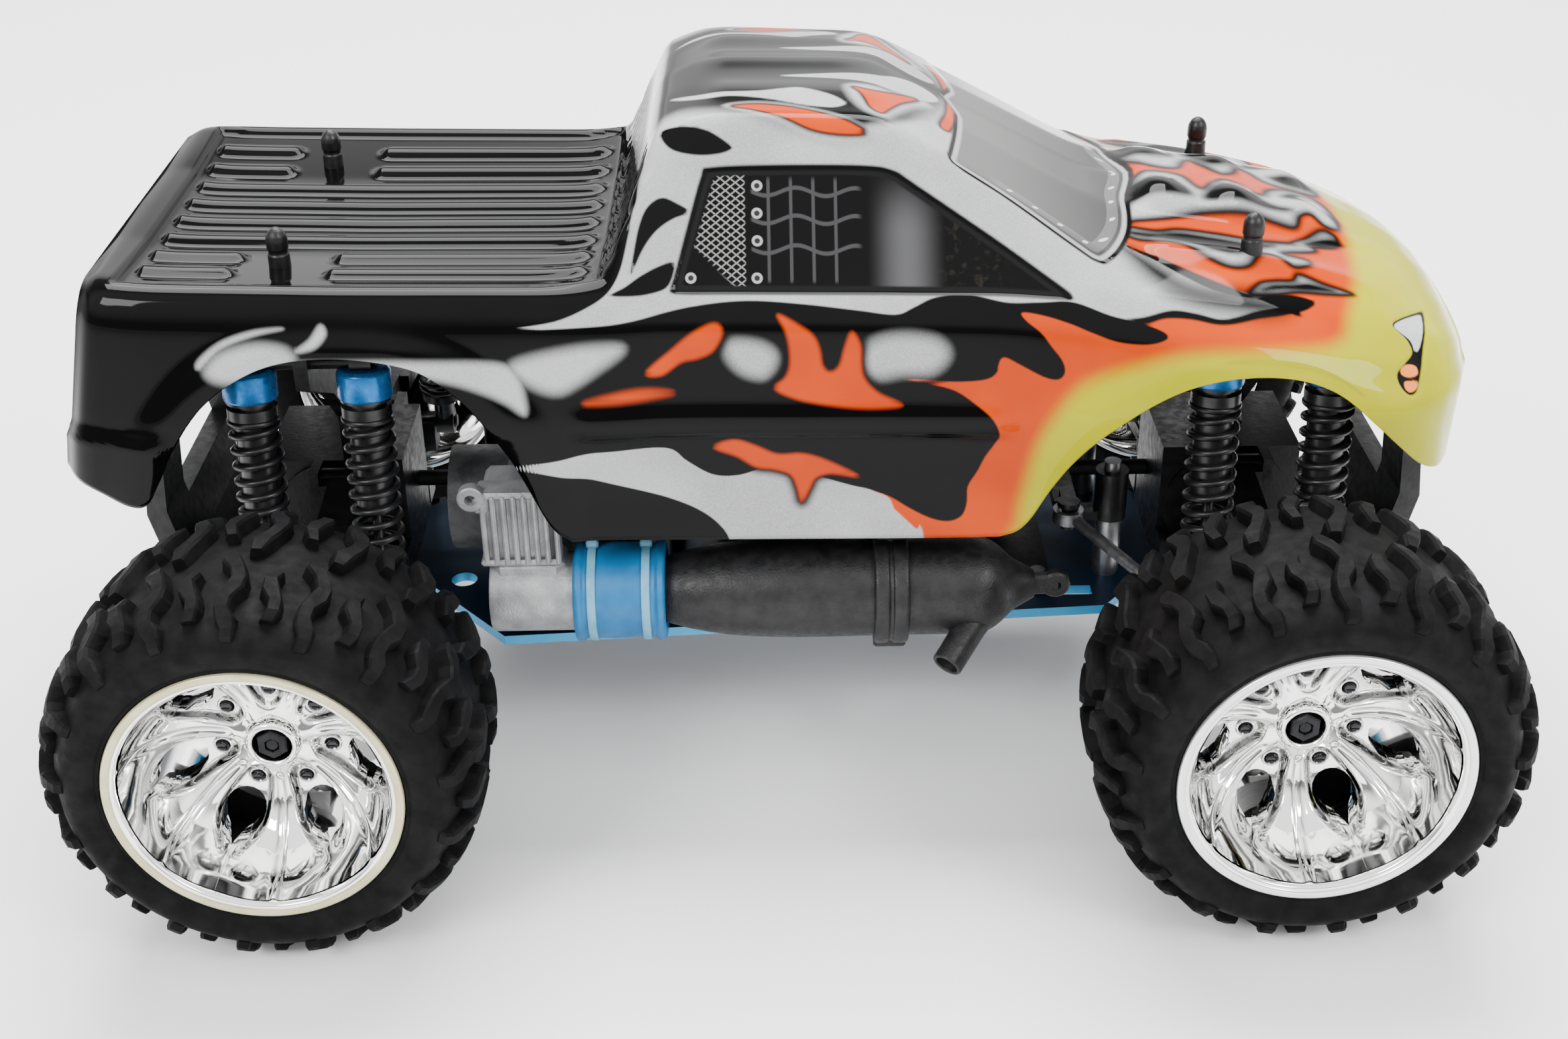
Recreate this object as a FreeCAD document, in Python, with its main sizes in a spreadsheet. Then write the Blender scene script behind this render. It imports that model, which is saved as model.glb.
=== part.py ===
import FreeCAD, Part
import math
import os
import re
import Sketcher

# Radio-controlled monster truck, tenth scale. Millimetres. +X is forward, +Y is the truck's left,
# +Z is up. The origin is on the ground, midway between the axles, on the centre plane.

V = FreeCAD.Vector
TURN = FreeCAD.Rotation

DIMS = {
    # running gear
    "half_wheelbase": 137.5, "axle_height": 58.0, "tyre_radius": 58.0, "tyre_inside": 92.0,
    "tyre_outside": 152.0, "tyre_wall": 3.5, "rim_radius": 38.0, "barrel_radius": 35.0,
    "rim_wall": 2.0, "rim_face": 120.0, "axle_radius": 4.0, "thread_radius": 2.0,
    # suspension: both arms and the drive shaft share one span and one drop, so they stay parallel
    "arm_span": 62.0, "arm_drop": 8.0, "hinge_reach": 24.0, "lower_hinge": 54.0, "upper_hinge": 82.0,
    "pin_radius": 1.5, "pin_play": 0.08, "barrel_size": 3.6, "arm_thick": 6.0, "lower_half": 18.0,
    "upper_half": 7.5, "kingpin_reach": 96.0, "kingpin_radius": 2.0, "knuckle_radius": 9.5,
    "shaft_reach": 34.0, "shaft_radius": 1.8, "ball_radius": 3.6, "cup_radius": 4.2,
    # shock absorbers
    "rear_tower_shift": 4.7, "tower_thick": 4.0, "shock_pitch": 16.0, "shock_top_reach": 55.0,
    "shock_top": 136.0, "shock_foot_reach": 40.0, "shock_foot_rise": 8.15, "shock_radius": 5.5,
    "spring_radius": 6.5, "wire_radius": 0.6, "spring_start": 16.0, "spring_end": 65.4,
    "spring_pitch": 4.6, "rod_radius": 1.6, "foot_play": 0.6,
    # frame
    "plate_low": 44.0, "plate_thick": 3.0, "plate_rear_half": 59.0, "plate_front_half": 47.0,
    "plate_end": 165.0, "plate_end_half": 18.0, "box_half": 21.0, "box_width": 38.0, "box_top": 86.0,
    # body mounting posts
    "post_back": 6.5, "post_reach": 41.0, "post_top": 170.5, "post_radius": 3.0, "post_step": 161.5,
    # steering
    "crank_x": 100.0, "crank_reach": 26.0, "crank_arm": 14.0, "crank_radius": 2.5, "link_z": 71.5,
    "rod_reach": 34.0, "horn_x": 60.0,
    # engine and drive train
    "shaft_y": 6.0, "shaft_z": 66.0, "crankshaft_y": -18.0, "crankshaft_z": 72.25, "engine_x": -68.0,
    "gear_x": -34.0, "gear_width": 6.0, "gear_module": 0.8, "spur_teeth": 44.0, "pinion_teeth": 18.0,
    "drive_radius": 2.5,
    # exhaust
    "pipe_y": -58.0, "pipe_z": 62.0, "pipe_radius": 14.5,
    # body shell
    "shell_wall": 1.6,
}

# Body shell stations from tail to nose. Each row holds x, then the outline from the sill up:
# low half-width, widest half-width, belt (half-width, height), upper edge (half-width, height),
# roof or deck edge (half-width, height), and the height on the centre line.
SHELL = (
    (-197.0, 62.0, 64.0, 63.0, 156.0, 59.0, 162.0, 55.0, 163.0, 163.0),
    (-192.0, 70.0, 72.0, 69.0, 158.0, 66.0, 164.5, 62.0, 166.0, 162.0),
    (-176.0, 74.0, 75.0, 71.5, 156.0, 69.0, 163.0, 64.0, 164.5, 160.5),
    (-120.0, 75.0, 76.0, 72.0, 154.0, 69.5, 161.0, 64.0, 163.0, 159.0),
    (-60.0, 74.0, 76.0, 72.0, 153.0, 69.0, 159.5, 64.0, 161.5, 158.0),
    (-48.0, 73.5, 76.0, 72.0, 153.0, 68.0, 160.5, 60.0, 163.0, 160.0),
    (-32.0, 73.5, 76.0, 72.5, 154.0, 67.0, 161.5, 42.0, 199.0, 201.0),
    (-20.0, 73.5, 76.0, 72.5, 154.0, 66.5, 161.5, 43.0, 201.5, 203.5),
    (28.0, 73.5, 76.0, 72.5, 153.0, 66.0, 160.5, 42.0, 199.5, 202.5),
    (60.0, 73.5, 76.0, 72.5, 152.0, 65.0, 160.0, 48.0, 180.0, 185.5),
    (90.0, 74.0, 76.5, 72.0, 148.0, 63.5, 156.5, 54.0, 162.5, 170.0),
    (130.0, 74.5, 77.0, 72.0, 143.0, 63.0, 151.5, 42.0, 158.0, 164.0),
    (165.0, 73.0, 76.0, 70.0, 137.0, 60.0, 145.0, 38.0, 151.0, 155.5),
    (184.0, 64.0, 67.0, 62.0, 132.0, 54.0, 138.5, 34.0, 143.0, 147.0),
    (193.0, 45.0, 49.0, 46.0, 127.0, 40.0, 132.0, 26.0, 135.5, 138.5),
    (197.0, 34.0, 37.0, 34.0, 123.0, 29.0, 127.0, 20.0, 129.0, 131.0),
)
SHELL_COLUMNS = ("x", "low", "wide", "belt_y", "belt_z", "upper_y", "upper_z", "edge_y", "edge_z", "top")
LOW_EDGE = 60.0

# Lower edge of the body side, seen from the side: (x, z) from the tail to the nose.
SILL = (
    (-210.0, 112.0), (-190.0, 110.0), (-176.0, 104.0), (-166.0, 121.0), (-157.0, 133.0), (-146.0, 141.5),
    (-127.0, 145.5), (-101.0, 143.5), (-85.5, 131.5), (-76.0, 118.0), (-68.5, 101.5), (-63.0, 91.0),
    (-54.0, 88.0), (58.0, 87.0), (66.0, 90.0), (75.0, 106.0), (86.0, 118.5), (106.0, 132.5),
    (125.0, 136.0), (150.0, 131.5), (168.0, 117.0), (180.0, 106.0), (187.0, 103.0), (210.0, 105.0),
)

doc = FreeCAD.newDocument("monster_truck")
sheet = doc.addObject("Spreadsheet::Sheet", "Dims")
nodes = []


def fill_sheet():
    values = dict(DIMS)
    for index, row in enumerate(SHELL):
        for column, number in zip(SHELL_COLUMNS, row):
            values["station_%s_%s" % ("abcdefghijklmnopqrst"[index], column)] = number
    for line, (word, number) in enumerate(values.items(), start=1):
        sheet.set("A%d" % line, word)
        sheet.set("B%d" % line, repr(number))
        sheet.setAlias("B%d" % line, word)
    doc.recompute()


fill_sheet()


def bound(text):
    """An expression in which the words of the sheet are looked up in the sheet."""
    def spell(word):
        return "Dims." + word.group() if word.group() in DIMS else word.group()
    return re.sub(r"[a-z][a-z_]*", spell, str(text))


def dim(word):
    return float(sheet.get(word))


def set_base(obj, base):
    for letter, text in zip("xyz", base):
        obj.setExpression("Placement.Base." + letter, bound(text))


def place(obj, base, rotation=None):
    obj.Placement = FreeCAD.Placement(V(0, 0, 0), rotation or TURN())
    set_base(obj, base)
    return obj


def block(centre, size):
    """A box about its centre."""
    box = doc.addObject("Part::Box", "Block")
    for side, text in zip(("Length", "Width", "Height"), size):
        box.setExpression(side, bound(text))
    return place(box, ["(%s) - (%s) / 2" % pair for pair in zip(centre, size)])


def rod(axis, centre, radius, length):
    """A cylinder about its centre, along x, y or z."""
    bar = doc.addObject("Part::Cylinder", "Rod")
    bar.setExpression("Radius", bound(radius))
    bar.setExpression("Height", bound(length))
    start = ["(%s) - (%s) / 2" % (c, length) if letter == axis else c for letter, c in zip("xyz", centre)]
    turns = {"x": TURN(V(0, 1, 0), 90), "y": TURN(V(1, 0, 0), -90), "z": TURN()}
    return place(bar, start, turns[axis])


def cone(axis, centre, radii, length):
    """A cone about its centre, its first radius at the low end of the axis."""
    horn = doc.addObject("Part::Cone", "Taper")
    horn.setExpression("Radius1", bound(radii[0]))
    horn.setExpression("Radius2", bound(radii[1]))
    horn.setExpression("Height", bound(length))
    start = ["(%s) - (%s) / 2" % (c, length) if letter == axis else c for letter, c in zip("xyz", centre)]
    turns = {"x": TURN(V(0, 1, 0), 90), "y": TURN(V(1, 0, 0), -90), "z": TURN()}
    return place(horn, start, turns[axis])


def ball(centre, radius):
    sphere = doc.addObject("Part::Sphere", "Ball")
    sphere.setExpression("Radius", bound(radius))
    return place(sphere, centre)


def fuse(pieces):
    joined = doc.addObject("Part::MultiFuse", "Joined")
    joined.Shapes = pieces
    return joined


def cut(piece, tools):
    carved = doc.addObject("Part::Cut", "Carved")
    carved.Base = piece
    carved.Tool = tools[0] if len(tools) == 1 else fuse(tools)
    return carved


def group(pieces):
    together = doc.addObject("Part::Compound", "Group")
    together.Links = pieces
    return together


def node(name, obj):
    obj.Label = name
    nodes.append(obj)
    return obj


def origin_plane(body, role):
    return [f for f in body.Origin.OriginFeatures if f.Role == role][0]


def outline(body, role, points):
    """A closed sketch whose every corner is held at its own two distances from the origin."""
    sketch = body.newObject("Sketcher::SketchObject", "Outline")
    sketch.AttachmentSupport = [(origin_plane(body, role), "")]
    sketch.MapMode = "FlatFace"
    count = len(points)
    start = [V(50 * math.cos(2 * math.pi * i / count), 50 * math.sin(2 * math.pi * i / count), 0)
             for i in range(count)]
    for i in range(count):
        sketch.addGeometry(Part.LineSegment(start[i], start[(i + 1) % count]), False)
    for i in range(count):
        sketch.addConstraint(Sketcher.Constraint("Coincident", i, 2, (i + 1) % count, 1))
    for i, corner in enumerate(points):
        for kind, here, text in zip(("DistanceX", "DistanceY"), start[i], corner):
            index = sketch.addConstraint(Sketcher.Constraint(kind, -1, 1, i, 1, here))
            sketch.setExpression("Constraints[%d]" % index, bound(text))
    return sketch


def padded(role, points, thick, middle=True):
    """A body made by padding one outline."""
    body = doc.addObject("PartDesign::Body", "Body")
    sketch = outline(body, role, points)
    pad = body.newObject("PartDesign::Pad", "Pad")
    pad.Profile = sketch
    pad.Midplane = middle
    pad.setExpression("Length", bound(thick))
    return body


def turned(points):
    """A body turned about its own Y axis; the outline is (radius, along the axis)."""
    body = doc.addObject("PartDesign::Body", "Body")
    sketch = outline(body, "XY_Plane", points)
    spin = body.newObject("PartDesign::Revolution", "Turning")
    spin.Profile = sketch
    spin.ReferenceAxis = (sketch, ["V_Axis"])
    spin.Angle = 360
    return body


# Each corner is built pointing left (+Y outward) and turned half round for the right side.
class Corner:
    def __init__(self, end, side):
        self.name = "%s_%s" % (end, side)
        self.front = end == "front"
        self.sign = 1 if side == "left" else -1
        self.axle = "half_wheelbase" if self.front else "-half_wheelbase"
        self.tower = "0" if self.front else "%d * rear_tower_shift" % self.sign
        self.half_turn = TURN(V(0, 0, 1), 0 if self.sign > 0 else 180)

    def put(self, part, obj):
        place(obj, (self.axle, "0", "0"), self.half_turn)
        return node("%s_%s" % (self.name, part), obj)

    def put_sloped(self, part, obj, reach, height):
        slope = math.degrees(math.atan2(dim("arm_drop"), dim("arm_span")))
        turn = self.half_turn.multiply(TURN(V(1, 0, 0), -slope))
        place(obj, (self.axle, "%d * (%s)" % (self.sign, reach), height), turn)
        return node("%s_%s" % (self.name, part), obj)


ARM_LENGTH = "sqrt(arm_span * arm_span + arm_drop * arm_drop)"
BORE = "pin_radius + pin_play"


def arm(half, ear_in, ear_out, shift, extras):
    """An arm from its inner hinge barrel to the forked outer end that carries the hub pin."""
    beam_inner = block((shift, "15", "0"), ("2 * (%s) - 6" % half, "24", "arm_thick"))
    beam_outer = block((shift, "45", "0"), ("2 * (%s)" % ear_out, "38", "arm_thick - 1"))
    barrel = rod("x", (shift, "0", "0"), "barrel_size", "2 * (%s)" % half)
    ears = []
    pin = rod("x", (shift, ARM_LENGTH, "0"), "pin_radius", "2 * (%s)" % ear_out)
    for sign in (-1, 1):
        middle = "%s + %d * ((%s) + (%s)) / 2" % (shift, sign, ear_in, ear_out)
        wide = "(%s) - (%s)" % (ear_out, ear_in)
        ears.append(block((middle, "%s - 6" % ARM_LENGTH, "0"), (wide, "14", "arm_thick - 1")))
        ears.append(rod("x", (middle, ARM_LENGTH, "0"), "barrel_size", wide))
    root = block((shift, "4", "0"), ("2 * (%s) - 1" % half, "6", "arm_thick - 1"))
    solid = fuse([beam_inner, beam_outer, barrel, root] + ears + extras)
    bore = rod("x", (shift, "0", "0"), BORE, "2 * (%s) + 10" % half)
    jaw = block((shift, "%s + 4" % ARM_LENGTH, "0"), ("2 * (%s)" % ear_in, "16", "20"))
    body = cut(solid, [bore, jaw])
    return fuse([body, pin])


def lower_arm(corner):
    boss = block((corner.tower, "shock_foot_reach", "3.5"), ("25", "9", "10"))
    shock_pin = rod("x", (corner.tower, "shock_foot_reach", "shock_foot_rise"), "thread_radius", "40")
    window = block(("0", "24", "0"), ("14", "16", "30"))
    shaft_slot = block(("0", "shock_foot_reach", "10.2"), ("10", "16", "10.4"))
    body = arm("lower_half", "8.8", "13", "0", [boss, shock_pin])
    corner.put_sloped("lower_arm", cut(body, [window, shaft_slot]), "hinge_reach", "lower_hinge")


def upper_arm(corner):
    body = arm("upper_half", "4.3", "upper_half", corner.tower, [])
    corner.put_sloped("upper_arm", body, "hinge_reach", "upper_hinge")


OUTER = "hinge_reach + arm_span"
LOWER_PIN = "lower_hinge - arm_drop"
UPPER_PIN = "upper_hinge - arm_drop"


def hub_tongues(corner):
    """The two hinge tongues of a hub carrier and the bores that run on the arm pins."""
    tongues = [
        rod("x", ("0", OUTER, LOWER_PIN), "barrel_size", "17"),
        rod("x", (corner.tower, OUTER, UPPER_PIN), "barrel_size", "8"),
        block(("0", "%s + 3" % OUTER, LOWER_PIN), ("17", "4", "5")),
        block((corner.tower, "%s + 3" % OUTER, UPPER_PIN), ("8", "4", "5")),
    ]
    bores = [
        rod("x", ("0", OUTER, LOWER_PIN), BORE, "40"),
        rod("x", (corner.tower, OUTER, UPPER_PIN), BORE, "40"),
    ]
    return tongues, bores


def front_hub_carrier(corner):
    tongues, bores = hub_tongues(corner)
    web = block(("%d * 0.75" % corner.sign, "91.45", "axle_height"), ("23.5", "2.5", "45"))
    lips = [block(("0", "95.6", "axle_height + %s" % z), ("13", "10.8", "3.5")) for z in ("20.75", "-20.75")]
    swing = rod("y", ("0", "90", "axle_height"), "8.4", "20")
    notch = block(("%d * (-8)" % corner.sign, "91.45", "axle_height"), ("16", "8", "16.8"))
    kingpin = rod("z", ("0", "kingpin_reach", "axle_height"), "kingpin_radius + pin_play", "80")
    body = cut(fuse([web] + lips + tongues), [swing, notch, kingpin] + bores)
    corner.put("hub_carrier", body)


def bearing_bores():
    cup = rod("y", ("0", "95.6", "axle_height"), "6.1", "12.2")
    shaft = rod("y", ("0", "106", "axle_height"), "axle_radius + pin_play", "16")
    return [cup, shaft]


def rear_hub_carrier(corner):
    tongues, bores = hub_tongues(corner)
    web = block(("0", "91.6", "axle_height"), ("20", "2.8", "38"))
    housing = rod("y", ("0", "101.5", "axle_height"), "knuckle_radius", "19")
    swing = rod("y", ("0", "90", "axle_height"), "6.1", "12")
    corner.put("hub_carrier", cut(fuse([web, housing] + tongues), [swing] + bearing_bores() + bores))


def knuckle(corner):
    housing = rod("y", ("0", "104", "axle_height"), "knuckle_radius", "14")
    neck = rod("y", ("0", "97", "axle_height"), "7.3", "8")
    spine = rod("z", ("0", "kingpin_reach", "axle_height"), "3.1", "37")
    kingpin = rod("z", ("0", "kingpin_reach", "axle_height"), "kingpin_radius", "46")
    side = "%d * (-crank_arm)" % corner.sign
    arm_root = block(("%s * 0.75" % side, "kingpin_reach + 4", "axle_height - 1.5"), ("crank_arm", "6", "4"))
    arm_tip = block((side, "kingpin_reach + 2", "axle_height - 1.5"), ("7", "10", "4"))
    stud = rod("z", (side, "kingpin_reach", "axle_height + 2.5"), "kingpin_radius", "9")
    hollow = cut(fuse([housing, neck, spine, kingpin]), bearing_bores())
    open_core = cut(fuse([arm_root, arm_tip, stud]), [rod("y", ("0", "101.5", "axle_height"), "7.2", "30")])
    corner.put("knuckle", fuse([hollow, open_core]))


def wheel_axle():
    """Stub axle with its drive cup, hexagon, thread and nut."""
    cup = cut(rod("y", ("0", "96.5", "axle_height"), "6", "10"),
              [rod("y", ("0", "94.7", "axle_height"), "cup_radius", "10.9")])
    shaft = rod("y", ("0", "106.5", "axle_height"), "axle_radius", "12")
    thread = rod("y", ("0", "121", "axle_height"), "thread_radius", "19")
    hexagon = doc.addObject("Part::Prism", "Hexagon")
    hexagon.Polygon = 6
    hexagon.setExpression("Circumradius", "6.9")
    hexagon.setExpression("Height", "4.6")
    place(hexagon, ("0", "111.4", "axle_height"), TURN(V(1, 0, 0), -90))
    nut = doc.addObject("Part::Prism", "Nut")
    nut.Polygon = 6
    nut.setExpression("Circumradius", "4.3")
    nut.setExpression("Height", "5")
    place(nut, ("0", "124.1", "axle_height"), TURN(V(1, 0, 0), -90))
    return fuse([cup, shaft, thread, hexagon, nut])


def rim(corner):
    """Deep-dish rim: barrel, slanting dish and hub boss turned in one, with seven windows."""
    profile = [
        ("barrel_radius - rim_wall", "93"), ("barrel_radius + 2", "93"), ("barrel_radius + 2", "95"),
        ("barrel_radius", "97"), ("barrel_radius", "146"), ("rim_radius", "149"), ("rim_radius", "151"),
        ("rim_radius - 3", "151"), ("barrel_radius - 3", "146"), ("barrel_radius - 5", "rim_face + 12"),
        ("20", "rim_face + 6"), ("10", "rim_face + 4"), ("2.1", "rim_face + 4"), ("2.1", "116.1"),
        ("12", "116.1"), ("20", "rim_face + 2"), ("barrel_radius - rim_wall", "rim_face + 2"),
    ]
    dish = place(turned(profile), ("0", "0", "axle_height"))
    windows = []
    for index in range(7):
        angle = 2 * math.pi * index / 7
        centre = ("%.6f * 22" % math.sin(angle), "rim_face + 6", "axle_height + %.6f * 22" % math.cos(angle))
        windows.append(rod("y", centre, "6", "30"))
    return corner.put("rim", group([cut(dish, windows), wheel_axle()]))


def tyre(corner):
    wall = "tyre_wall"
    profile = [
        ("barrel_radius + 2.2", "tyre_inside + 2"), ("45", "tyre_inside"), ("54", "tyre_inside + 5"),
        ("tyre_radius", "tyre_inside + 14"), ("tyre_radius", "tyre_outside - 14"),
        ("54", "tyre_outside - 4"), ("47", "tyre_outside"), ("rim_radius + 1.2", "tyre_outside - 1.5"),
        ("rim_radius + 0.6", "148.8"), ("barrel_radius + 0.3", "145.4"), ("barrel_radius + 0.3", "142"),
        ("40", "tyre_outside - 6"),
        ("47", "tyre_outside - %s" % wall), ("52", "tyre_outside - 7"),
        ("tyre_radius - %s" % wall, "tyre_outside - 16"), ("tyre_radius - %s" % wall, "tyre_inside + 16"),
        ("52", "tyre_inside + 8"), ("45", "tyre_inside + %s" % wall), ("39", "tyre_inside + 6"),
        ("barrel_radius + 0.2", "tyre_inside + 9"), ("barrel_radius + 0.2", "tyre_inside + 5.4"),
        ("barrel_radius + 2.2", "tyre_inside + 3.4"),
    ]
    corner.put("tyre", place_inside(turned(profile)))


def place_inside(body):
    """Lifts a turned body to the axle line inside the corner's own frame."""
    return group([place(body, ("0", "0", "axle_height"))])


def drive_shaft(corner):
    shaft = rod("y", ("0", "%s / 2" % ARM_LENGTH, "0"), "shaft_radius", ARM_LENGTH)
    ends = [ball(("0", reach, "0"), "ball_radius") for reach in ("0", ARM_LENGTH)]
    corner.put_sloped("drive_shaft", fuse([shaft] + ends), "shaft_reach", "shaft_z")


def shock_frame(corner):
    """Top eye, foot eye and lean of this corner's shock absorbers."""
    slope = math.atan2(dim("arm_drop"), dim("arm_span"))
    reach, rise = dim("shock_foot_reach"), dim("shock_foot_rise")
    foot_y = dim("hinge_reach") + reach * math.cos(slope) + rise * math.sin(slope)
    foot_z = dim("lower_hinge") - reach * math.sin(slope) + rise * math.cos(slope)
    lean = math.degrees(math.atan2(foot_y - dim("shock_top_reach"), dim("shock_top") - foot_z))
    length = math.hypot(foot_y - dim("shock_top_reach"), dim("shock_top") - foot_z)
    return lean, length


def put_shock(corner, part, obj):
    """Shock parts are built hanging down from the top eye, then leaned outward."""
    lean, _ = shock_frame(corner)
    turn = corner.half_turn.multiply(TURN(V(1, 0, 0), lean))
    shift = "0" if corner.front else "rear_tower_shift"
    base = ("%s + %s" % (corner.axle, shift), "%d * shock_top_reach" % corner.sign, "shock_top")
    place(obj, base, turn)
    return node("%s_%s" % (corner.name, part), obj) if part else obj


def shock_cylinders(corner):
    pair = []
    for x in ("shock_pitch", "-shock_pitch"):
        solid = fuse([
            rod("z", (x, "0", "-23"), "shock_radius", "42"),
            rod("z", (x, "0", "-7"), "7", "8"),
            rod("z", (x, "0", "-14"), "7", "3"),
            rod("x", (x, "0", "0"), "4.2", "6"),
        ])
        pair.append(cut(solid, [rod("x", (x, "0", "0"), "thread_radius + pin_play", "12"),
                                rod("z", (x, "0", "-25.5"), "rod_radius + pin_play", "39")]))
    put_shock(corner, "shock_cylinders", group(pair))


def shock_rods(corner):
    _, length = shock_frame(corner)
    foot = "-%.6f" % length
    pair = []
    for x in ("shock_pitch", "-shock_pitch"):
        solid = fuse([
            rod("z", (x, "0", "-48"), "rod_radius", "52"),
            rod("z", (x, "0", "-67.5"), "7", "3"),
            rod("z", (x, "0", "-72"), "3.5", "10"),
            rod("x", (x, "0", foot), "4.4", "6"),
        ])
        pair.append(cut(solid, [rod("x", (x, "0", foot), "thread_radius + foot_play", "12")]))
    put_shock(corner, "shock_rods", group(pair))


def coil_spring(x):
    helix = doc.addObject("Part::Helix", "Coil")
    helix.setExpression("Pitch", bound("spring_pitch"))
    helix.setExpression("Height", bound("spring_end - spring_start - 2 * wire_radius"))
    helix.setExpression("Radius", bound("spring_radius"))
    place(helix, (x, "0", "-spring_end + wire_radius"))
    wire = doc.addObject("Part::Circle", "Wire")
    wire.setExpression("Radius", bound("wire_radius"))
    place(wire, ("%s + spring_radius" % x, "0", "-spring_end + wire_radius"), TURN(V(1, 0, 0), 90))
    coil = doc.addObject("Part::Sweep", "Spring")
    coil.Sections = [wire]
    coil.Spine = (helix, ["Edge1"])
    coil.Solid = True
    coil.Frenet = True
    return coil


def springs(corners):
    pairs = []
    for corner in corners:
        pair = group([coil_spring(x) for x in ("shock_pitch", "-shock_pitch")])
        pairs.append(put_shock(corner, "", pair))
    node("shock_springs", group(pairs))


def tie_rod(corner):
    """Rod from the drag link's stud, at its origin, out and forward to the knuckle's stud."""
    run = dim("half_wheelbase") - dim("crank_x")
    span, drop = dim("arm_span"), dim("arm_drop")
    length = math.sqrt(run * run + span * span + drop * drop)
    shaft = doc.addObject("Part::Cylinder", "Rod")
    shaft.setExpression("Radius", bound("shaft_radius"))
    shaft.Height = length - 7
    start = V(run, corner.sign * span, -drop).normalize() * 3.5
    shaft.Placement = FreeCAD.Placement(start, TURN(V(0, 0, 1), V(run, corner.sign * span, -drop)))
    eyes = [
        rod("z", ("0", "0", "0"), "4.6", "4"),
        rod("z", ("half_wheelbase - crank_x", "%d * arm_span" % corner.sign, "-arm_drop"), "4.6", "4"),
    ]
    holes = [
        rod("z", ("0", "0", "0"), "kingpin_radius + 1.1", "12"),
        rod("z", ("half_wheelbase - crank_x", "%d * arm_span" % corner.sign, "-arm_drop"),
            "kingpin_radius + 1.1", "12"),
    ]
    body = cut(fuse([shaft] + eyes), holes)
    base = ("crank_x - crank_arm", "%d * rod_reach" % corner.sign, "link_z")
    node("%s_tie_rod" % corner.name, place(body, base))


def bellcrank(side):
    sign = 1 if side == "left" else -1
    centre = ("crank_x", "%d * crank_reach" % sign)
    pin = ("crank_x - crank_arm", "%d * crank_reach" % sign)
    pieces = [
        rod("z", centre + ("link_z + 3",), "5", "16"),
        block(("crank_x - crank_arm / 2", "%d * crank_reach" % sign, "link_z - 3.6"),
              ("crank_arm", "6", "3")),
        rod("z", pin + ("link_z - 3.6",), "3", "3"),
        rod("z", pin + ("link_z",), "kingpin_radius - 0.5", "8"),
    ]
    if sign > 0:
        pieces.append(block(("crank_x", "crank_reach - crank_arm / 2", "link_z + 9"),
                            ("6", "crank_arm", "3")))
        pieces.append(rod("z", ("crank_x", "crank_reach - crank_arm", "link_z + 9"), "3", "3"))
        pieces.append(rod("z", ("crank_x", "crank_reach - crank_arm", "link_z + 12"),
                          "kingpin_radius - 0.5", "6"))
    bore = rod("z", centre + ("link_z",), "crank_radius + pin_play", "60")
    node("bellcrank_%s" % side, cut(fuse(pieces), [bore]))


def drag_link():
    bar = block(("crank_x - crank_arm", "0", "link_z"), ("7", "2 * rod_reach + 6", "3.6"))
    holes = [rod("z", ("crank_x - crank_arm", "%d * crank_reach" % s, "link_z"),
                 "kingpin_radius - 0.42", "20") for s in (-1, 1)]
    ends = [block(("crank_x - crank_arm", "%d * rod_reach" % s, "link_z"), ("9.8", "9.8", "5"))
            for s in (-1, 1)]
    studs = [rod("z", ("crank_x - crank_arm", "%d * rod_reach" % s, "link_z"), "kingpin_radius", "9")
             for s in (-1, 1)]
    body = cut(bar, holes + ends)
    caps = []
    for s in (-1, 1):
        caps.append(rod("z", ("crank_x - crank_arm", "%d * rod_reach" % s, "link_z + 4"), "3.4", "1.6"))
        caps.append(block(("crank_x - crank_arm", "%d * (rod_reach - 4)" % s, "link_z + 4"),
                          ("4", "6", "1.6")))
        caps.append(block(("crank_x - crank_arm", "%d * (rod_reach - 6.2)" % s, "link_z + 2.5"),
                          ("4", "2.2", "4")))
    node("drag_link", cut(fuse([body] + studs + caps), [
        rod("z", ("crank_x - crank_arm", "%d * crank_reach" % s, "link_z"), "kingpin_radius - 0.42", "20")
        for s in (-1, 1)]))


def servo_linkage():
    horn = fuse([
        rod("z", ("horn_x", "crank_reach", "link_z + 9"), "5", "4"),
        block(("horn_x", "crank_reach - crank_arm / 2", "link_z + 9"), ("6", "crank_arm", "3")),
        rod("z", ("horn_x", "crank_reach - crank_arm", "link_z + 9"), "3", "3"),
        rod("z", ("horn_x", "crank_reach - crank_arm", "link_z + 12"), "kingpin_radius - 0.5", "6"),
    ])
    bore = rod("z", ("horn_x", "crank_reach", "link_z + 9"), "crank_radius + pin_play", "20")
    node("servo_horn", cut(horn, [bore]))
    ends = ("horn_x", "crank_x")
    height = "link_z + 12.9"
    shaft = rod("x", ("(horn_x + crank_x) / 2", "crank_reach - crank_arm", height), "shaft_radius",
                "crank_x - horn_x - 6")
    bar = fuse([shaft] + [rod("z", (x, "crank_reach - crank_arm", height), "4.2", "4") for x in ends])
    bores = [rod("z", ("horn_x", "crank_reach - crank_arm", height), "kingpin_radius - 0.42", "12"),
             rod("z", ("crank_x", "crank_reach - crank_arm", height), "kingpin_radius - 0.1", "12")]
    node("servo_link", cut(bar, bores))


PLATE_TOP = "plate_low + plate_thick"


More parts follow.
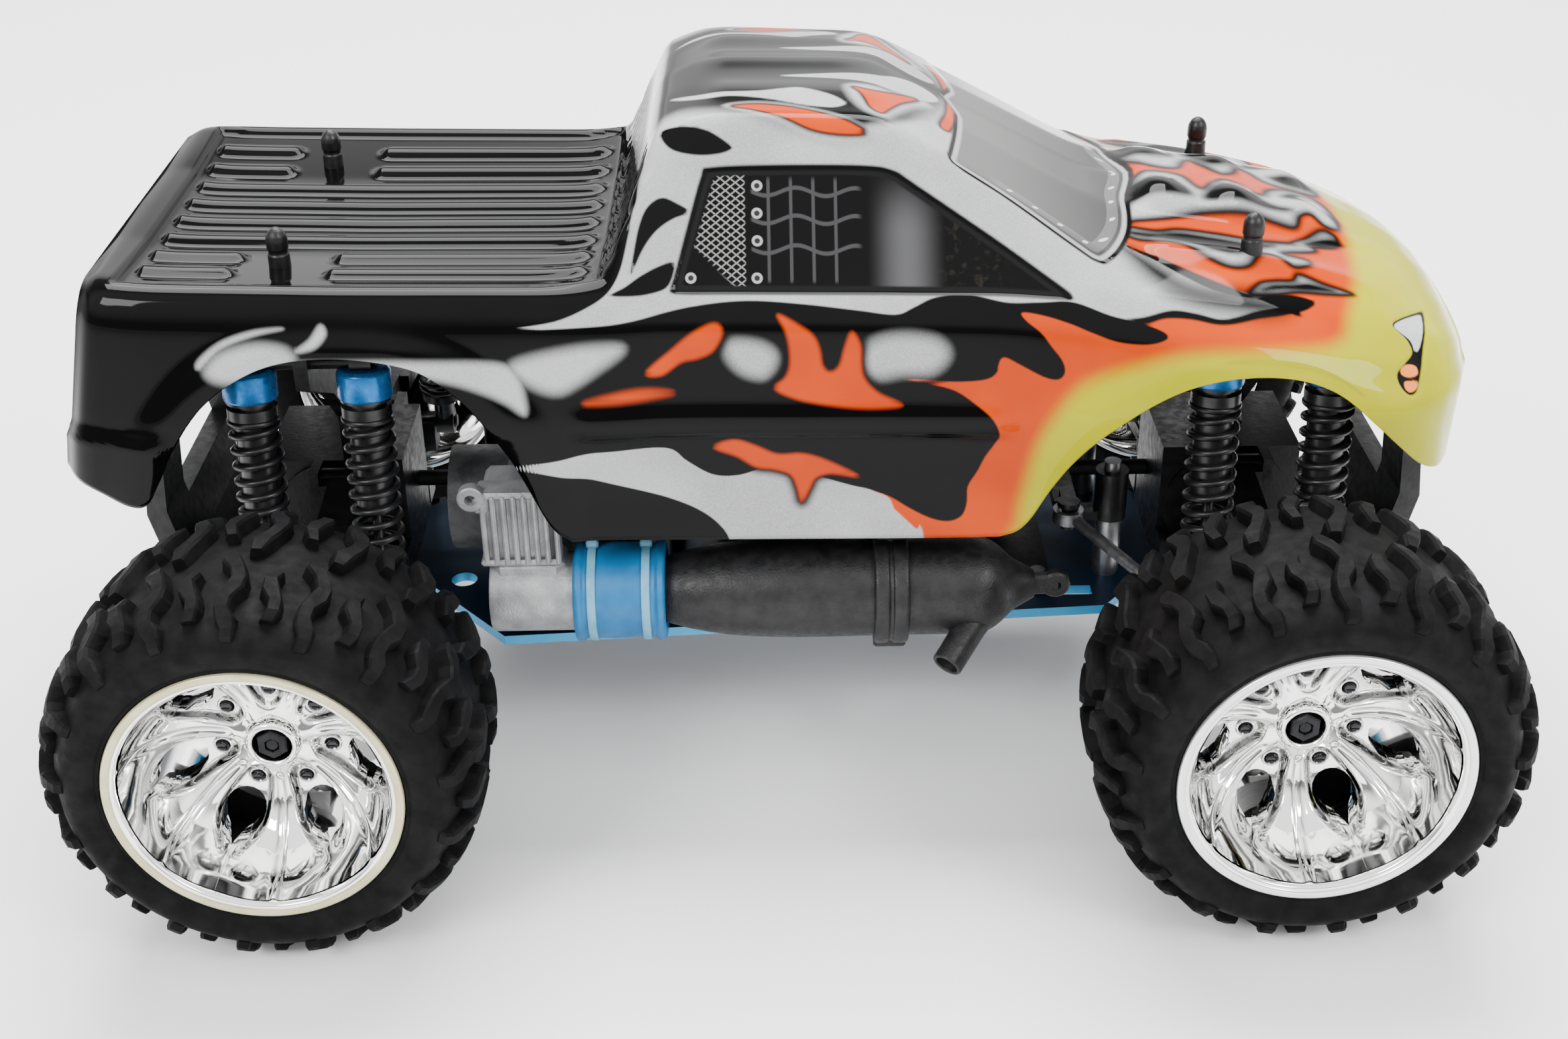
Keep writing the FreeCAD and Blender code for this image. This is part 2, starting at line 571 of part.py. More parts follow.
def chassis_plate():
    """Flat plate, wider behind than in front, with lightening holes and engine rails."""
    half = [("-plate_end", "plate_end_half"), ("-116", "plate_end_half + 4"), ("-84", "plate_rear_half"),
            ("97", "plate_front_half"), ("118", "plate_end_half + 4"), ("plate_end", "plate_end_half")]
    points = [(x, "-(%s)" % y) for x, y in half] + [(x, y) for x, y in reversed(half)]
    plate = place(padded("XY_Plane", points, "plate_thick"), ("0", "0", "plate_low + plate_thick / 2"))
    slots = [block(("88", "%d * 38" % s, "plate_low"), ("12", "5", "20")) for s in (-1, 1)]
    round_holes = [rod("z", (x, y, "plate_low"), "4", "20")
                   for x in ("-100", "-20", "20") for y in ("-26", "26")]
    rails = [block(("engine_x", y, "plate_low + plate_thick + 2.5"), ("34", "8", "5"))
             for y in ("-31", "-5")]
    node("chassis_plate", group([cut(plate, slots + round_holes)] + rails))


def gearbox(front):
    sign = 1 if front else -1
    axle = "%d * half_wheelbase" % sign
    tower = axle if front else "%s + rear_tower_shift" % axle
    middle = "(box_top + %s) / 2" % PLATE_TOP
    case = block((axle, "0", middle), ("2 * box_half", "box_width", "box_top - plate_low - plate_thick"))
    crown = rod("y", (axle, "0", "shaft_z"), "box_half - 1.5", "box_width + 2")
    low = block((axle, "0", "plate_low - 10"), ("80", "80", "2 * (10 + plate_thick)"))
    cups = rod("y", (axle, "0", "shaft_z"), "6", "2 * (shaft_reach + 4)")
    pieces = [case, crown, cups]
    for s in (-1, 1):
        reach = "%d * (hinge_reach - 1)" % s
        for x in (-1, 1):
            lower = "%s + %d * (lower_half + 1.8)" % (axle, x)
            upper = "%s + %d * (upper_half + 1.8)" % (tower, x)
            pieces.append(block((lower, reach, "lower_hinge"), ("3", "10", "8")))
            pieces.append(block((upper, reach, "upper_hinge"), ("3", "10", "8")))
        pieces.append(rod("x", (axle, "%d * hinge_reach" % s, "lower_hinge"),
                          "pin_radius", "2 * lower_half + 3"))
        pieces.append(rod("x", (tower, "%d * hinge_reach" % s, "upper_hinge"),
                          "pin_radius", "2 * upper_half + 3"))
    sockets = [rod("y", (axle, "%d * (shaft_reach + 1)" % s, "shaft_z"), "cup_radius", "10")
               for s in (-1, 1)]
    input_bore = rod("x", ("%s - %d * (box_half - 4)" % (axle, sign), "shaft_y", "shaft_z"),
                     "drive_radius + pin_play", "24")
    return cut(fuse(pieces), sockets + [input_bore, low])


def shock_tower(front):
    tower = "half_wheelbase" if front else "rear_tower_shift - half_wheelbase"
    half = [("16", "box_top"), ("17", "100"), ("34", "116"), ("61", "130"), ("61", "141"), ("40", "143"),
            ("20", "130")]
    points = [("-(%s)" % y, z) for y, z in half] + [(y, z) for y, z in reversed(half)]
    plate = place(padded("YZ_Plane", points, "tower_thick"), (tower, "0", "0"))
    pins = [rod("x", (tower, "%d * shock_top_reach" % s, "shock_top"),
                "thread_radius", "2 * shock_pitch + 8")
            for s in (-1, 1)]
    return fuse([plate] + pins)


def body_post(front, sign):
    """Post with a foot that bolts to the tower's rear face, a shoulder and a domed free end."""
    tower = "half_wheelbase" if front else "rear_tower_shift - half_wheelbase"
    x = "%s - post_back" % tower
    y = "%d * post_reach" % sign
    foot = block(("%s - tower_thick / 2 - 3" % tower, y, "136"), ("6", "9", "10"))
    stem = rod("z", (x, y, "(post_step + 131) / 2"), "post_radius + 0.6", "post_step - 131")
    free_end = rod("z", (x, y, "(post_top - post_radius + post_step) / 2"), "post_radius",
                   "post_top - post_radius - post_step")
    dome = ball((x, y, "post_top - post_radius"), "post_radius")
    return fuse([foot, stem, free_end, dome])


def bumper(front):
    """Curved skid bumper: a bent bar across the truck's end with a cooling window."""
    sign = 1 if front else -1
    profile = [("plate_end - 3", PLATE_TOP), ("plate_end + 8", PLATE_TOP), ("182", "62"), ("187", "84"),
               ("184", "112"), ("179", "113"), ("181", "85"), ("177", "67"), ("plate_end + 5", "53"),
               ("plate_end - 3", "53")]
    points = [("%d * (%s)" % (sign, x), z) for x, z in profile]
    bar = place(padded("XZ_Plane", points, "96"), ("0", "0", "0"))
    corners = [block(("%d * 170" % sign, "%d * 41" % s, "56"), ("30", "30", "24")) for s in (-1, 1)]
    window = block(("%d * 184" % sign, "0", "92"), ("30", "56", "22"))
    return cut(bar, corners + [window])


def radio_tray():
    tray = block(("28", "5", "plate_low + plate_thick + 1.25"), ("108", "82", "2.5"))
    receiver = block(("1", "36", "67"), ("44", "30", "35"))
    lid = block(("1", "36", "86"), ("46", "32", "3"))
    bearing = cut(block(("-10", "shaft_y", "61.5"), ("6", "16", "24")),
                  [rod("x", ("-10", "shaft_y", "shaft_z"), "drive_radius + pin_play", "20")])
    node("radio_tray", group([tray, fuse([receiver, lid]), bearing]))


def servo(x, y, shaft_shift):
    case = block((x, y, "62.2"), ("40", "20", "25.4"))
    ears = block((x, y, "69"), ("54", "18", "2.4"))
    spline = rod("z", ("%s + %s" % (x, shaft_shift), y, "78.5"), "crank_radius", "9")
    return fuse([case, ears, spline])


def servos():
    steering = servo("horn_x - 8", "crank_reach", "8")
    throttle = servo("34", "-26", "-8")
    node("servos", group([steering, throttle]))


def fuel_tank():
    shell = block(("-70", "35", "68.5"), ("54", "36", "39"))
    rounded = doc.addObject("Part::Fillet", "Rounded")
    rounded.Base = shell
    doc.recompute()
    rounded.Edges = [(i + 1, 4.0, 4.0) for i in range(len(shell.Shape.Edges))]
    neck = rod("z", ("-70", "35", "89.5"), "9", "6")
    lug = block(("-70", "22.5", "91.6"), ("8", "3", "8.2"))
    feet = [block((x, "35", "48"), ("6", "30", "2")) for x in ("-88", "-52")]
    pin_hole = rod("x", ("-70", "22.5", "94.1"), "1.1", "30")
    node("fuel_tank", cut(fuse([rounded, neck, lug] + feet), [pin_hole]))
    cap = rod("z", ("-70", "35", "94.1"), "10", "3")
    grip = block(("-70", "46", "94.1"), ("6", "6", "2"))
    ears = [block(("-70 + %d * 5.5" % s, "24.8", "94.1"), ("2.6", "8.4", "3")) for s in (-1, 1)]
    pin = rod("x", ("-70", "22.5", "94.1"), "1.02", "13.6")
    node("fuel_tank_cap", fuse([cap, grip, pin] + ears))


def engine():
    case = block(("engine_x", "crankshaft_y", "68.5"), ("30", "30", "33"))
    crank_nose = rod("x", ("-53", "crankshaft_y", "crankshaft_z"), "10", "12")
    stub = rod("x", ("-41", "crankshaft_y", "crankshaft_z"), "drive_radius", "26")
    liner = rod("z", ("engine_x", "crankshaft_y", "91"), "13", "14")
    starter = rod("x", ("-92", "crankshaft_y", "crankshaft_z"), "16", "19")
    port = block(("engine_x - 6", "-35", "86"), ("16", "8", "12"))
    fins = []
    for level in range(5):
        fins.append(rod("z", ("engine_x", "crankshaft_y", "99.4 + 3.4 * %d" % level), "17", "1.8"))
    core = rod("z", ("engine_x", "crankshaft_y", "106.5"), "12.5", "17")
    plug = rod("z", ("engine_x", "crankshaft_y", "117"), "4", "6")
    node("engine_head", fuse([core, plug] + fins))
    throat = rod("x", ("-47", "crankshaft_y", "91.5"), "6", "20")
    elbow = rod("z", ("-38", "crankshaft_y", "100"), "6", "20")
    foam = rod("z", ("-38", "crankshaft_y", "117"), "10", "16")
    node("engine_and_carburettor", fuse([case, crank_nose, stub, liner, starter, port, throat, elbow, foam]))


def manifold():
    """Cast exhaust header: flange at the engine's port, finned chamber, outlet tube."""
    flange = block(("engine_x - 6", "-41", "86"), ("16", "4", "12"))
    chamber = block(("-76", "-54", "86"), ("24", "22", "24"))
    fins = [block(("%.1f" % (-86 + 3 * i), "-65.6", "86"), ("1.2", "2.4", "22")) for i in range(8)]
    tube = rod("x", ("-72", "pipe_y", "pipe_z"), "11.5", "26")
    throat = block(("-74", "pipe_y", "72"), ("20", "12", "10"))
    ear = cut(rod("y", ("-89", "-64", "98"), "3.6", "4"), [rod("y", ("-89", "-64", "98"), "1.6", "8")])
    root = block(("-86", "-64", "97"), ("3", "3.6", "4"))
    return node("exhaust_manifold", fuse([flange, chamber, tube, throat, ear, root] + fins))


def muffler():
    """Two-chamber pipe with a clamped middle joint, a tapered tail with its lug, and an outlet."""
    profile = [
        ("0", "-37"), ("9", "-37"), ("11", "-30"), ("13.4", "-18"), ("pipe_radius", "-2"),
        ("pipe_radius", "25"),
        ("pipe_radius + 2", "25"), ("pipe_radius + 2", "36"), ("pipe_radius", "36"), ("pipe_radius", "58"),
        ("12", "62"), ("5", "72"), ("0", "72"),
    ]
    body = place(turned(profile), ("0", "pipe_y", "pipe_z"), TURN(V(0, 0, 1), -90))
    lug_hole = rod("y", ("78", "pipe_y", "pipe_z"), "1.6", "10")
    lug = cut(block(("76", "pipe_y", "pipe_z"), ("10", "4", "9")), [lug_hole])
    tab = block(("30.5", "pipe_y", "pipe_z - pipe_radius"), ("9", "8", "5"))
    outlet = doc.addObject("Part::Cylinder", "Outlet")
    outlet.Radius = 4.5
    outlet.Height = 26
    outlet.Placement = FreeCAD.Placement(V(62, -62, 60), TURN(V(0, 0, 1), V(-13, -17, -11)))
    bore = doc.addObject("Part::Cylinder", "OutletBore")
    bore.Radius = 3.5
    bore.Height = 12
    bore.Placement = FreeCAD.Placement(V(62, -62, 60) + V(-13, -17, -11).normalize() * 16,
                                       TURN(V(0, 0, 1), V(-13, -17, -11)))
    low = block(("30", "pipe_y", "plate_low"), ("200", "60", "2 * plate_thick + 0.4"))
    node("muffler", cut(fuse([body, lug, tab, outlet]), [bore, low]))
    sleeve = cut(rod("x", ("-48", "pipe_y", "pipe_z"), "pipe_radius - 0.3", "25"), [
        rod("x", ("-59", "pipe_y", "pipe_z"), "11.55", "6"),
        rod("x", ("-48", "pipe_y", "pipe_z"), "8", "40"),
        cone("x", ("-34.5", "pipe_y", "pipe_z"), ("8.9", "10.6"), "6")])
    node("exhaust_coupler", sleeve)


def gear_wheel(teeth, width):
    """A toothed wheel about its own Z axis: a blank of root radius with one tooth carried round."""
    body = doc.addObject("PartDesign::Body", "Gear")
    sketch = body.newObject("Sketcher::SketchObject", "Blank")
    sketch.AttachmentSupport = [(origin_plane(body, "XY_Plane"), "")]
    sketch.MapMode = "FlatFace"
    sketch.addGeometry(Part.Circle(V(0, 0, 0), V(0, 0, 1), 10), False)
    sketch.addConstraint(Sketcher.Constraint("Coincident", 0, 3, -1, 1))
    index = sketch.addConstraint(Sketcher.Constraint("Radius", 0, 10))
    sketch.setExpression("Constraints[%d]" % index, bound("gear_module * (%s / 2 - 1.25)" % teeth))
    pad = body.newObject("PartDesign::Pad", "Disc")
    pad.Profile = sketch
    pad.Midplane = True
    pad.setExpression("Length", bound(width))
    root = "gear_module * (%s / 2 - 1.5)" % teeth
    tip = "gear_module * (%s / 2 + 0.85)" % teeth
    tooth = outline(body, "XY_Plane", [(root, "-0.95 * gear_module"), (tip, "-0.3 * gear_module"),
                                      (tip, "0.3 * gear_module"), (root, "0.95 * gear_module")])
    lug = body.newObject("PartDesign::Pad", "Tooth")
    lug.Profile = tooth
    lug.Midplane = True
    lug.setExpression("Length", bound(width))
    ring = body.newObject("PartDesign::PolarPattern", "Teeth")
    ring.Originals = [lug]
    ring.Axis = (sketch, ["N_Axis"])
    ring.Angle = 360
    ring.Occurrences = int(dim(teeth))
    body.Tip = ring
    return body


def mesh_angles():
    """Turns that put a spur gap where a pinion tooth stands, on the line between the two shafts."""
    rise, run = dim("crankshaft_z") - dim("shaft_z"), dim("crankshaft_y") - dim("shaft_y")
    line = math.degrees(math.atan2(rise, run))
    return line + 180 / dim("spur_teeth"), line + 180


def drive_train():
    spur_turn, pinion_turn = mesh_angles()
    along = TURN(V(1, 1, 1), 120)
    spur = place(gear_wheel("spur_teeth", "gear_width"), ("gear_x", "shaft_y", "shaft_z"),
                 along.multiply(TURN(V(0, 0, 1), spur_turn)))
    shaft = rod("x", ("0", "shaft_y", "shaft_z"), "drive_radius", "2 * (half_wheelbase - box_half) + 16")
    hub = rod("x", ("gear_x + 6", "shaft_y", "shaft_z"), "6", "8")
    disc = rod("x", ("gear_x + 13", "shaft_y", "shaft_z"), "13", "1.6")
    node("spur_gear_and_shafts", fuse([spur, shaft, hub, disc]))
    pinion = place(gear_wheel("pinion_teeth", "gear_width"), ("gear_x", "crankshaft_y", "crankshaft_z"),
                   along.multiply(TURN(V(0, 0, 1), pinion_turn)))
    bell = rod("x", ("gear_x - 5.5", "crankshaft_y", "crankshaft_z"), "13", "5")
    flywheel = rod("x", ("gear_x - 10", "crankshaft_y", "crankshaft_z"), "13", "4")
    bore = rod("x", ("gear_x", "crankshaft_y", "crankshaft_z"), "drive_radius + pin_play", "60")
    node("clutch_bell", cut(fuse([pinion, bell, flywheel]), [bore]))


def fasteners():
    """Screw heads on the towers and tray, and the two posts that the bellcranks turn on."""
    heads = []
    for tower in ("half_wheelbase", "rear_tower_shift - half_wheelbase"):
        for y in ("-11", "11"):
            for z in ("92", "112"):
                heads.append(rod("x", ("%s + tower_thick / 2 + 0.8" % tower, y, z), "2.3", "1.6"))
    for x in ("-22", "78"):
        for y in ("-32", "14"):
            heads.append(rod("z", (x, y, "plate_low + plate_thick + 3.3"), "2.3", "1.6"))
    posts = [rod("z", ("crank_x", "%d * crank_reach" % s, "(47 + link_z + 14) / 2"), "crank_radius",
                 "link_z + 14 - 47") for s in (-1, 1)]
    collars = [rod("z", ("crank_x", "%d * crank_reach" % s, "(47 + link_z - 5.4) / 2"),
                   "4", "link_z - 5.4 - 47")
               for s in (-1, 1)]
    steering_posts = [fuse([post, collar]) for post, collar in zip(posts, collars)]
    node("fasteners", group(heads + steering_posts))


def station(index, column):
    return dim("station_%s_%s" % ("abcdefghijklmnopqrst"[index], column))


def shell_section(index, inset, drop, x):
    """One closed cross-section of the body, moved in from the outer skin by the wall."""
    low, wide = station(index, "low") - inset, station(index, "wide") - inset
    half = [
        (low, LOW_EDGE - drop), (low, 100.0), (wide, 128.0),
        (station(index, "belt_y") - inset, station(index, "belt_z") - 0.4 * inset),
        (station(index, "upper_y") - inset, station(index, "upper_z") - inset),
        (station(index, "edge_y") - 0.7 * inset, station(index, "edge_z") - inset),
        (0.45 * station(index, "edge_y"), station(index, "top") - inset - 0.6),
    ]
    points = [V(x, y, z) for y, z in half] + [V(x, 0, station(index, "top") - inset)]
    points += [V(x, -y, z) for y, z in reversed(half)]
    return Part.makePolygon(points + [points[0]])


def shell_solid(inset, drop):
    last = len(SHELL) - 1
    wires = []
    for index in range(last + 1):
        x = station(index, "x")
        if index == 0:
            x += inset
        if index == last:
            x -= inset
        wires.append(shell_section(index, inset, drop, x))
    return Part.makeLoft(wires, True, True)


def sill_tool():
    """Everything under the body's lower edge and inside its wheel arches."""
    corners = [V(x, 0, z) for x, z in SILL]
    corners += [V(SILL[-1][0], 0, 20), V(SILL[0][0], 0, 20)]
    face = Part.Face(Part.makePolygon(corners + [corners[0]]))
    face.translate(V(0, -120, 0))
    return face.extrude(V(0, 240, 0))


def body_shell():
    """Thin vacuum-formed pickup body: a ruled skin through the stations, hollow and open below."""
    skin = doc.addObject("Part::Feature", "Skin")
    skin.Shape = shell_solid(0.0, 0.0).cut(shell_solid(dim("shell_wall"), 5.0)).cut(sill_tool())
    holes = []
    for tower in ("half_wheelbase", "rear_tower_shift - half_wheelbase"):
        for s in (-1, 1):
            holes.append(rod("z", ("%s - post_back" % tower, "%d * post_reach" % s, "160"),
                             "post_radius + 1.2", "60"))
    node("body_shell", cut(skin, holes))


def build():
    corners = [Corner(end, side) for end in ("front", "rear") for side in ("left", "right")]
    for corner in corners:
        lower_arm(corner)
        upper_arm(corner)
        if corner.front:
            front_hub_carrier(corner)
            knuckle(corner)
            tie_rod(corner)
        else:
            rear_hub_carrier(corner)
        rim(corner)
        tyre(corner)
        drive_shaft(corner)
        shock_cylinders(corner)
        shock_rods(corner)
    springs(corners)
    bellcrank("left")
    bellcrank("right")
    drag_link()
    servo_linkage()
    chassis_plate()
    node("gearbox_housings", group([gearbox(True), gearbox(False)]))
    node("shock_towers", group([shock_tower(True), shock_tower(False)]))
    node("body_posts", group([body_post(front, s) for front in (True, False) for s in (-1, 1)]))
    node("bumpers", group([bumper(True), bumper(False)]))
    radio_tray()
    servos()
    fuel_tank()
    engine()
    manifold()
    muffler()
    drive_train()
    fasteners()
    body_shell()


def check_and_write():
    doc.recompute()
    for obj in doc.Objects:
        if "Invalid" in obj.State or "Error" in obj.State:
            raise RuntimeError("failed: %s %s" % (obj.Name, obj.Label))
    os.makedirs("parts", exist_ok=True)
    for obj in nodes:
        shape = obj.Shape
        if shape.isNull() or not shape.isValid() or not shape.Solids:
            raise RuntimeError("bad shape: " + obj.Label)
    for obj in nodes:
        obj.Shape.exportStep(os.path.join("parts", obj.Label + ".step"))
        print("%-28s solids %2d  volume %10.1f" % (obj.Label, len(obj.Shape.Solids), obj.Shape.Volume))
    print("nodes", len(nodes))


build()
check_and_write()
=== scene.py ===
import bpy
import itertools
import math
import numpy as np
from mathutils import Matrix, Vector


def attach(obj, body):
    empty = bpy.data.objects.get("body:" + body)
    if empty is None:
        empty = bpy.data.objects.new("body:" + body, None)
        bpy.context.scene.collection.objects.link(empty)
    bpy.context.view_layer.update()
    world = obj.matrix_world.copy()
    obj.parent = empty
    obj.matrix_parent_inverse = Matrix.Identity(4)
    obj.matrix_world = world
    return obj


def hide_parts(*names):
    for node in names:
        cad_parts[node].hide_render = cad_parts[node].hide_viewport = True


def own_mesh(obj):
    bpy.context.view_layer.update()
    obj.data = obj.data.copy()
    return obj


# The looks of a tenth-scale monster truck. Lengths are millimetres in the frame's axes: +X to the nose,
# +Y to the truck's left, +Z up. MM turns them into Blender's metres.
MM = 0.001
SIDES = {"left": 1, "right": -1}
ENDS = {"front": 1, "rear": -1}

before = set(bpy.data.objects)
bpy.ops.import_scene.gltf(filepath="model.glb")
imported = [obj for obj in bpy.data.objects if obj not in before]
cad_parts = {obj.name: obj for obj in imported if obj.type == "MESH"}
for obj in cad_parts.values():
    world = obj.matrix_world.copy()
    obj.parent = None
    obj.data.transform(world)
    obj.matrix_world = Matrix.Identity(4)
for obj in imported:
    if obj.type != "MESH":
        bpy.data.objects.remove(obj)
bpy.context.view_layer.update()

HALF_WHEELBASE = 137.5
AXLE_HEIGHT = 58.0
REAR_TOWER_SHIFT = 4.7
TOWER_X = {"front": HALF_WHEELBASE, "rear": REAR_TOWER_SHIFT - HALF_WHEELBASE}


# ---------------------------------------------------------------- mesh helpers

def new_object(name, mesh, material, body=None, replaces=()):
    """An object for a finished mesh: its material, the body it rides on and the CAD nodes it stands for."""
    obj = bpy.data.objects.new(name, mesh)
    bpy.context.scene.collection.objects.link(obj)
    obj.data.materials.append(material)
    if body is not None:
        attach(obj, body)
    if replaces:
        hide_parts(*replaces)
    return obj


def mesh_from(name, points, faces, smooth=True):
    """A mesh from points in millimetres."""
    mesh = bpy.data.meshes.new(name)
    mesh.from_pydata((np.asarray(points, float) * MM).tolist(), [], [tuple(map(int, f)) for f in faces])
    mesh.update()
    if smooth:
        mesh.polygons.foreach_set("use_smooth", np.ones(len(mesh.polygons), bool))
    return mesh


def add_values(mesh, name, values):
    """One named number at each point of a mesh, for its material to read."""
    values = np.asarray(values, np.float32)
    mesh.attributes.new(name, "FLOAT", "POINT").data.foreach_set("value", values)


def soften_edges(obj, degrees):
    """Smooth shading except across edges sharper than the limit."""
    mesh = obj.data
    mesh.polygons.foreach_set("use_smooth", np.ones(len(mesh.polygons), bool))
    mesh.set_sharp_from_angle(angle=math.radians(degrees))


def grid_faces(rows, columns, closed=False, offset=0):
    """Quads of a grid whose points run along the columns; closed joins the last column to the first."""
    r, c = np.meshgrid(np.arange(rows - 1), np.arange(columns if closed else columns - 1), indexing="ij")
    a = offset + r * columns + c
    b = offset + r * columns + (c + 1) % columns
    return np.stack([a, b, b + columns, a + columns], -1).reshape(-1, 4)


class Parts:
    """Collects closed pieces of one mesh, so that repeated details make one object."""

    def __init__(self):
        self.points = []
        self.faces = []
        self.shade = []
        self.count = 0

    def add(self, points, faces, shade=0.0):
        points = np.asarray(points, float)
        self.faces += [[int(i) + self.count for i in face] for face in faces]
        self.points.append(points)
        self.shade.append(np.broadcast_to(shade, (len(points),)))
        self.count += len(points)

    def piece(self, name, material, body, slot, replaces=(), smooth=True):
        """Makes one object of all that was added."""
        mesh = mesh_from(name, np.concatenate(self.points), self.faces, smooth)
        shade = np.concatenate(self.shade)
        if shade.any():
            add_values(mesh, "shade", shade)
        return new_object(name, mesh, material, body, replaces)


def turned_points(profile, steps):
    """Points of a profile of (radius, height) turned about +Z."""
    angles = np.arange(steps) * 2 * math.pi / steps
    profile = np.asarray(profile, float)
    x = profile[:, :1] * np.cos(angles)
    y = profile[:, :1] * np.sin(angles)
    z = np.repeat(profile[:, 1:], steps, 1)
    return np.stack([x, y, z], -1).reshape(-1, 3)


def add_turned(parts, profile, axis, centre, steps=32):
    """A closed solid of revolution whose heights run along the axis from the centre."""
    turn = np.array(Vector((0, 0, 1)).rotation_difference(Vector(axis)).to_matrix())
    points = turned_points(profile, steps) @ turn.T + np.asarray(centre, float)
    parts.add(points, grid_faces(len(profile), steps, closed=True)[:, ::-1])


def rounded(profile, radius=0.5, steps=3):
    """A profile of (radius, height) with its inner corners rounded."""
    profile = [np.asarray(p, float) for p in profile]
    out = [profile[0]]
    for before, corner, after in zip(profile, profile[1:], profile[2:]):
        u, v = before - corner, after - corner
        reach = min(radius, 0.45 * np.linalg.norm(u), 0.45 * np.linalg.norm(v))
        a = corner + u / max(np.linalg.norm(u), 1e-9) * reach
        b = corner + v / max(np.linalg.norm(v), 1e-9) * reach
        for k in range(steps + 1):
            s = k / steps
            out.append((1 - s) ** 2 * a + 2 * s * (1 - s) * corner + s * s * b)
    out.append(profile[-1])
    return np.array(out)


def add_wire(parts, path, radius, sides):
    """A round bar along a path, with closed ends."""
    tangent = np.gradient(path, axis=0)
    tangent /= np.linalg.norm(tangent, axis=1)[:, None]
    normal = np.cross(tangent[0], (0.31, 0.22, 0.92))
    angles = np.arange(sides)[:, None] * 2 * math.pi / sides
    rings = []
    for here, way in zip(path, tangent):
        normal = normal - way * (normal @ way)
        normal /= np.linalg.norm(normal)
        rings.append(here + radius * (np.cos(angles) * normal + np.sin(angles) * np.cross(way, normal)))
    faces = grid_faces(len(path), sides, closed=True).tolist()
    faces += [list(range(sides))[::-1], [(len(path) - 1) * sides + k for k in range(sides)]]
    parts.add(np.concatenate(rings), faces)


def add_block(parts, centre, size, bevel):
    """A block with chamfered edges: three points at each corner, one on each of its faces."""
    half = np.asarray(size, float) / 2
    bevel = min(bevel, 0.9 * half.min())
    points = []
    index = {}
    for signs in itertools.product((-1, 1), repeat=3):
        for face_axis in range(3):
            pulled = np.where(np.arange(3) == face_axis, 0.0, bevel)
            index[signs, face_axis] = len(points)
            points.append((half - pulled) * signs)

    def corner(axis, signs, face_axis):
        key = [0, 0, 0]
        for step, sign in enumerate(signs):
            key[(axis + step) % 3] = sign
        return index[tuple(key), face_axis]

    faces = []
    for axis, sign in itertools.product(range(3), (-1, 1)):
        u, v = (axis + 1) % 3, (axis + 2) % 3
        loop = [corner(axis, (sign, su, sv), axis) for su, sv in ((-1, -1), (1, -1), (1, 1), (-1, 1))]
        faces.append(loop if sign > 0 else loop[::-1])
        for sign_v in (-1, 1):
            loop = [corner(axis, (-1, sign, sign_v), u), corner(axis, (1, sign, sign_v), u),
                    corner(axis, (1, sign, sign_v), v), corner(axis, (-1, sign, sign_v), v)]
            faces.append(loop if sign * sign_v < 0 else loop[::-1])
    for signs in itertools.product((-1, 1), repeat=3):
        loop = [index[signs, k] for k in range(3)]
        faces.append(loop if np.prod(signs) > 0 else loop[::-1])
    parts.add(np.array(points) + np.asarray(centre, float), faces)


def smooth_step(value):
    """Rises smoothly from 0 to 1 as the value does."""
    value = np.clip(value, 0, 1)
    return value * value * (3 - 2 * value)


def swell(value, width):
    """A smooth bump of height 1 at value 0."""
    return np.exp(-(value / width) ** 2)


def curve_through(points, steps=8, closed=True):
    """A smooth (Catmull-Rom) line through a given outline."""
    points = np.asarray(points, float)
    count = len(points)
    s = np.linspace(0, 1, steps, endpoint=False)[:, None]
    out = []
    for i in range(count if closed else count - 1):
        around = [i + k if not closed else (i + k) % count for k in (-1, 0, 1, 2)]
        a, b, c, d = (points[min(max(k, 0), count - 1)] for k in around)
        out.append(0.5 * (2 * b + (c - a) * s + (2 * a - 5 * b + 4 * c - d) * s ** 2
                          + (3 * b - a - 3 * c + d) * s ** 3))
    if not closed:
        out.append(points[-1:])
    return np.concatenate(out)


def bell_weights(sigma, step, widths):
    """Weights of a bell curve, for softening a line sampled at this step."""
    reach = np.arange(-int(widths * sigma / step), int(widths * sigma / step) + 1) * step
    kernel = np.exp(-reach ** 2 / (2 * sigma * sigma))
    return kernel / kernel.sum()


def signed_distance(points, outline):
    """Distance from each point to a closed outline, positive inside it, and -40 where it is far off."""
    points = np.asarray(points, float)
    result = np.full(len(points), -40.0)
    low, high = outline.min(0) - 8, outline.max(0) + 8
    near = np.all((points >= low) & (points <= high), axis=1)
    p = points[near]
    if not len(p):
        return result
    best = np.full(len(p), 1e9)
    inside = np.zeros(len(p), bool)
    for a, b in zip(outline, np.roll(outline, -1, 0)):
        run = b - a
        share = np.clip(((p - a) @ run) / max(run @ run, 1e-12), 0, 1)
        best = np.minimum(best, ((p - a - share[:, None] * run) ** 2).sum(1))
        crosses = (a[1] > p[:, 1]) != (b[1] > p[:, 1])
        rise = run[1] if abs(run[1]) > 1e-12 else 1e-12
        inside ^= crosses & (p[:, 0] < a[0] + (p[:, 1] - a[1]) / rise * run[0])
    result[near] = np.where(inside, np.sqrt(best), -np.sqrt(best))
    return result


# ---------------------------------------------------------------- body shell: its surface

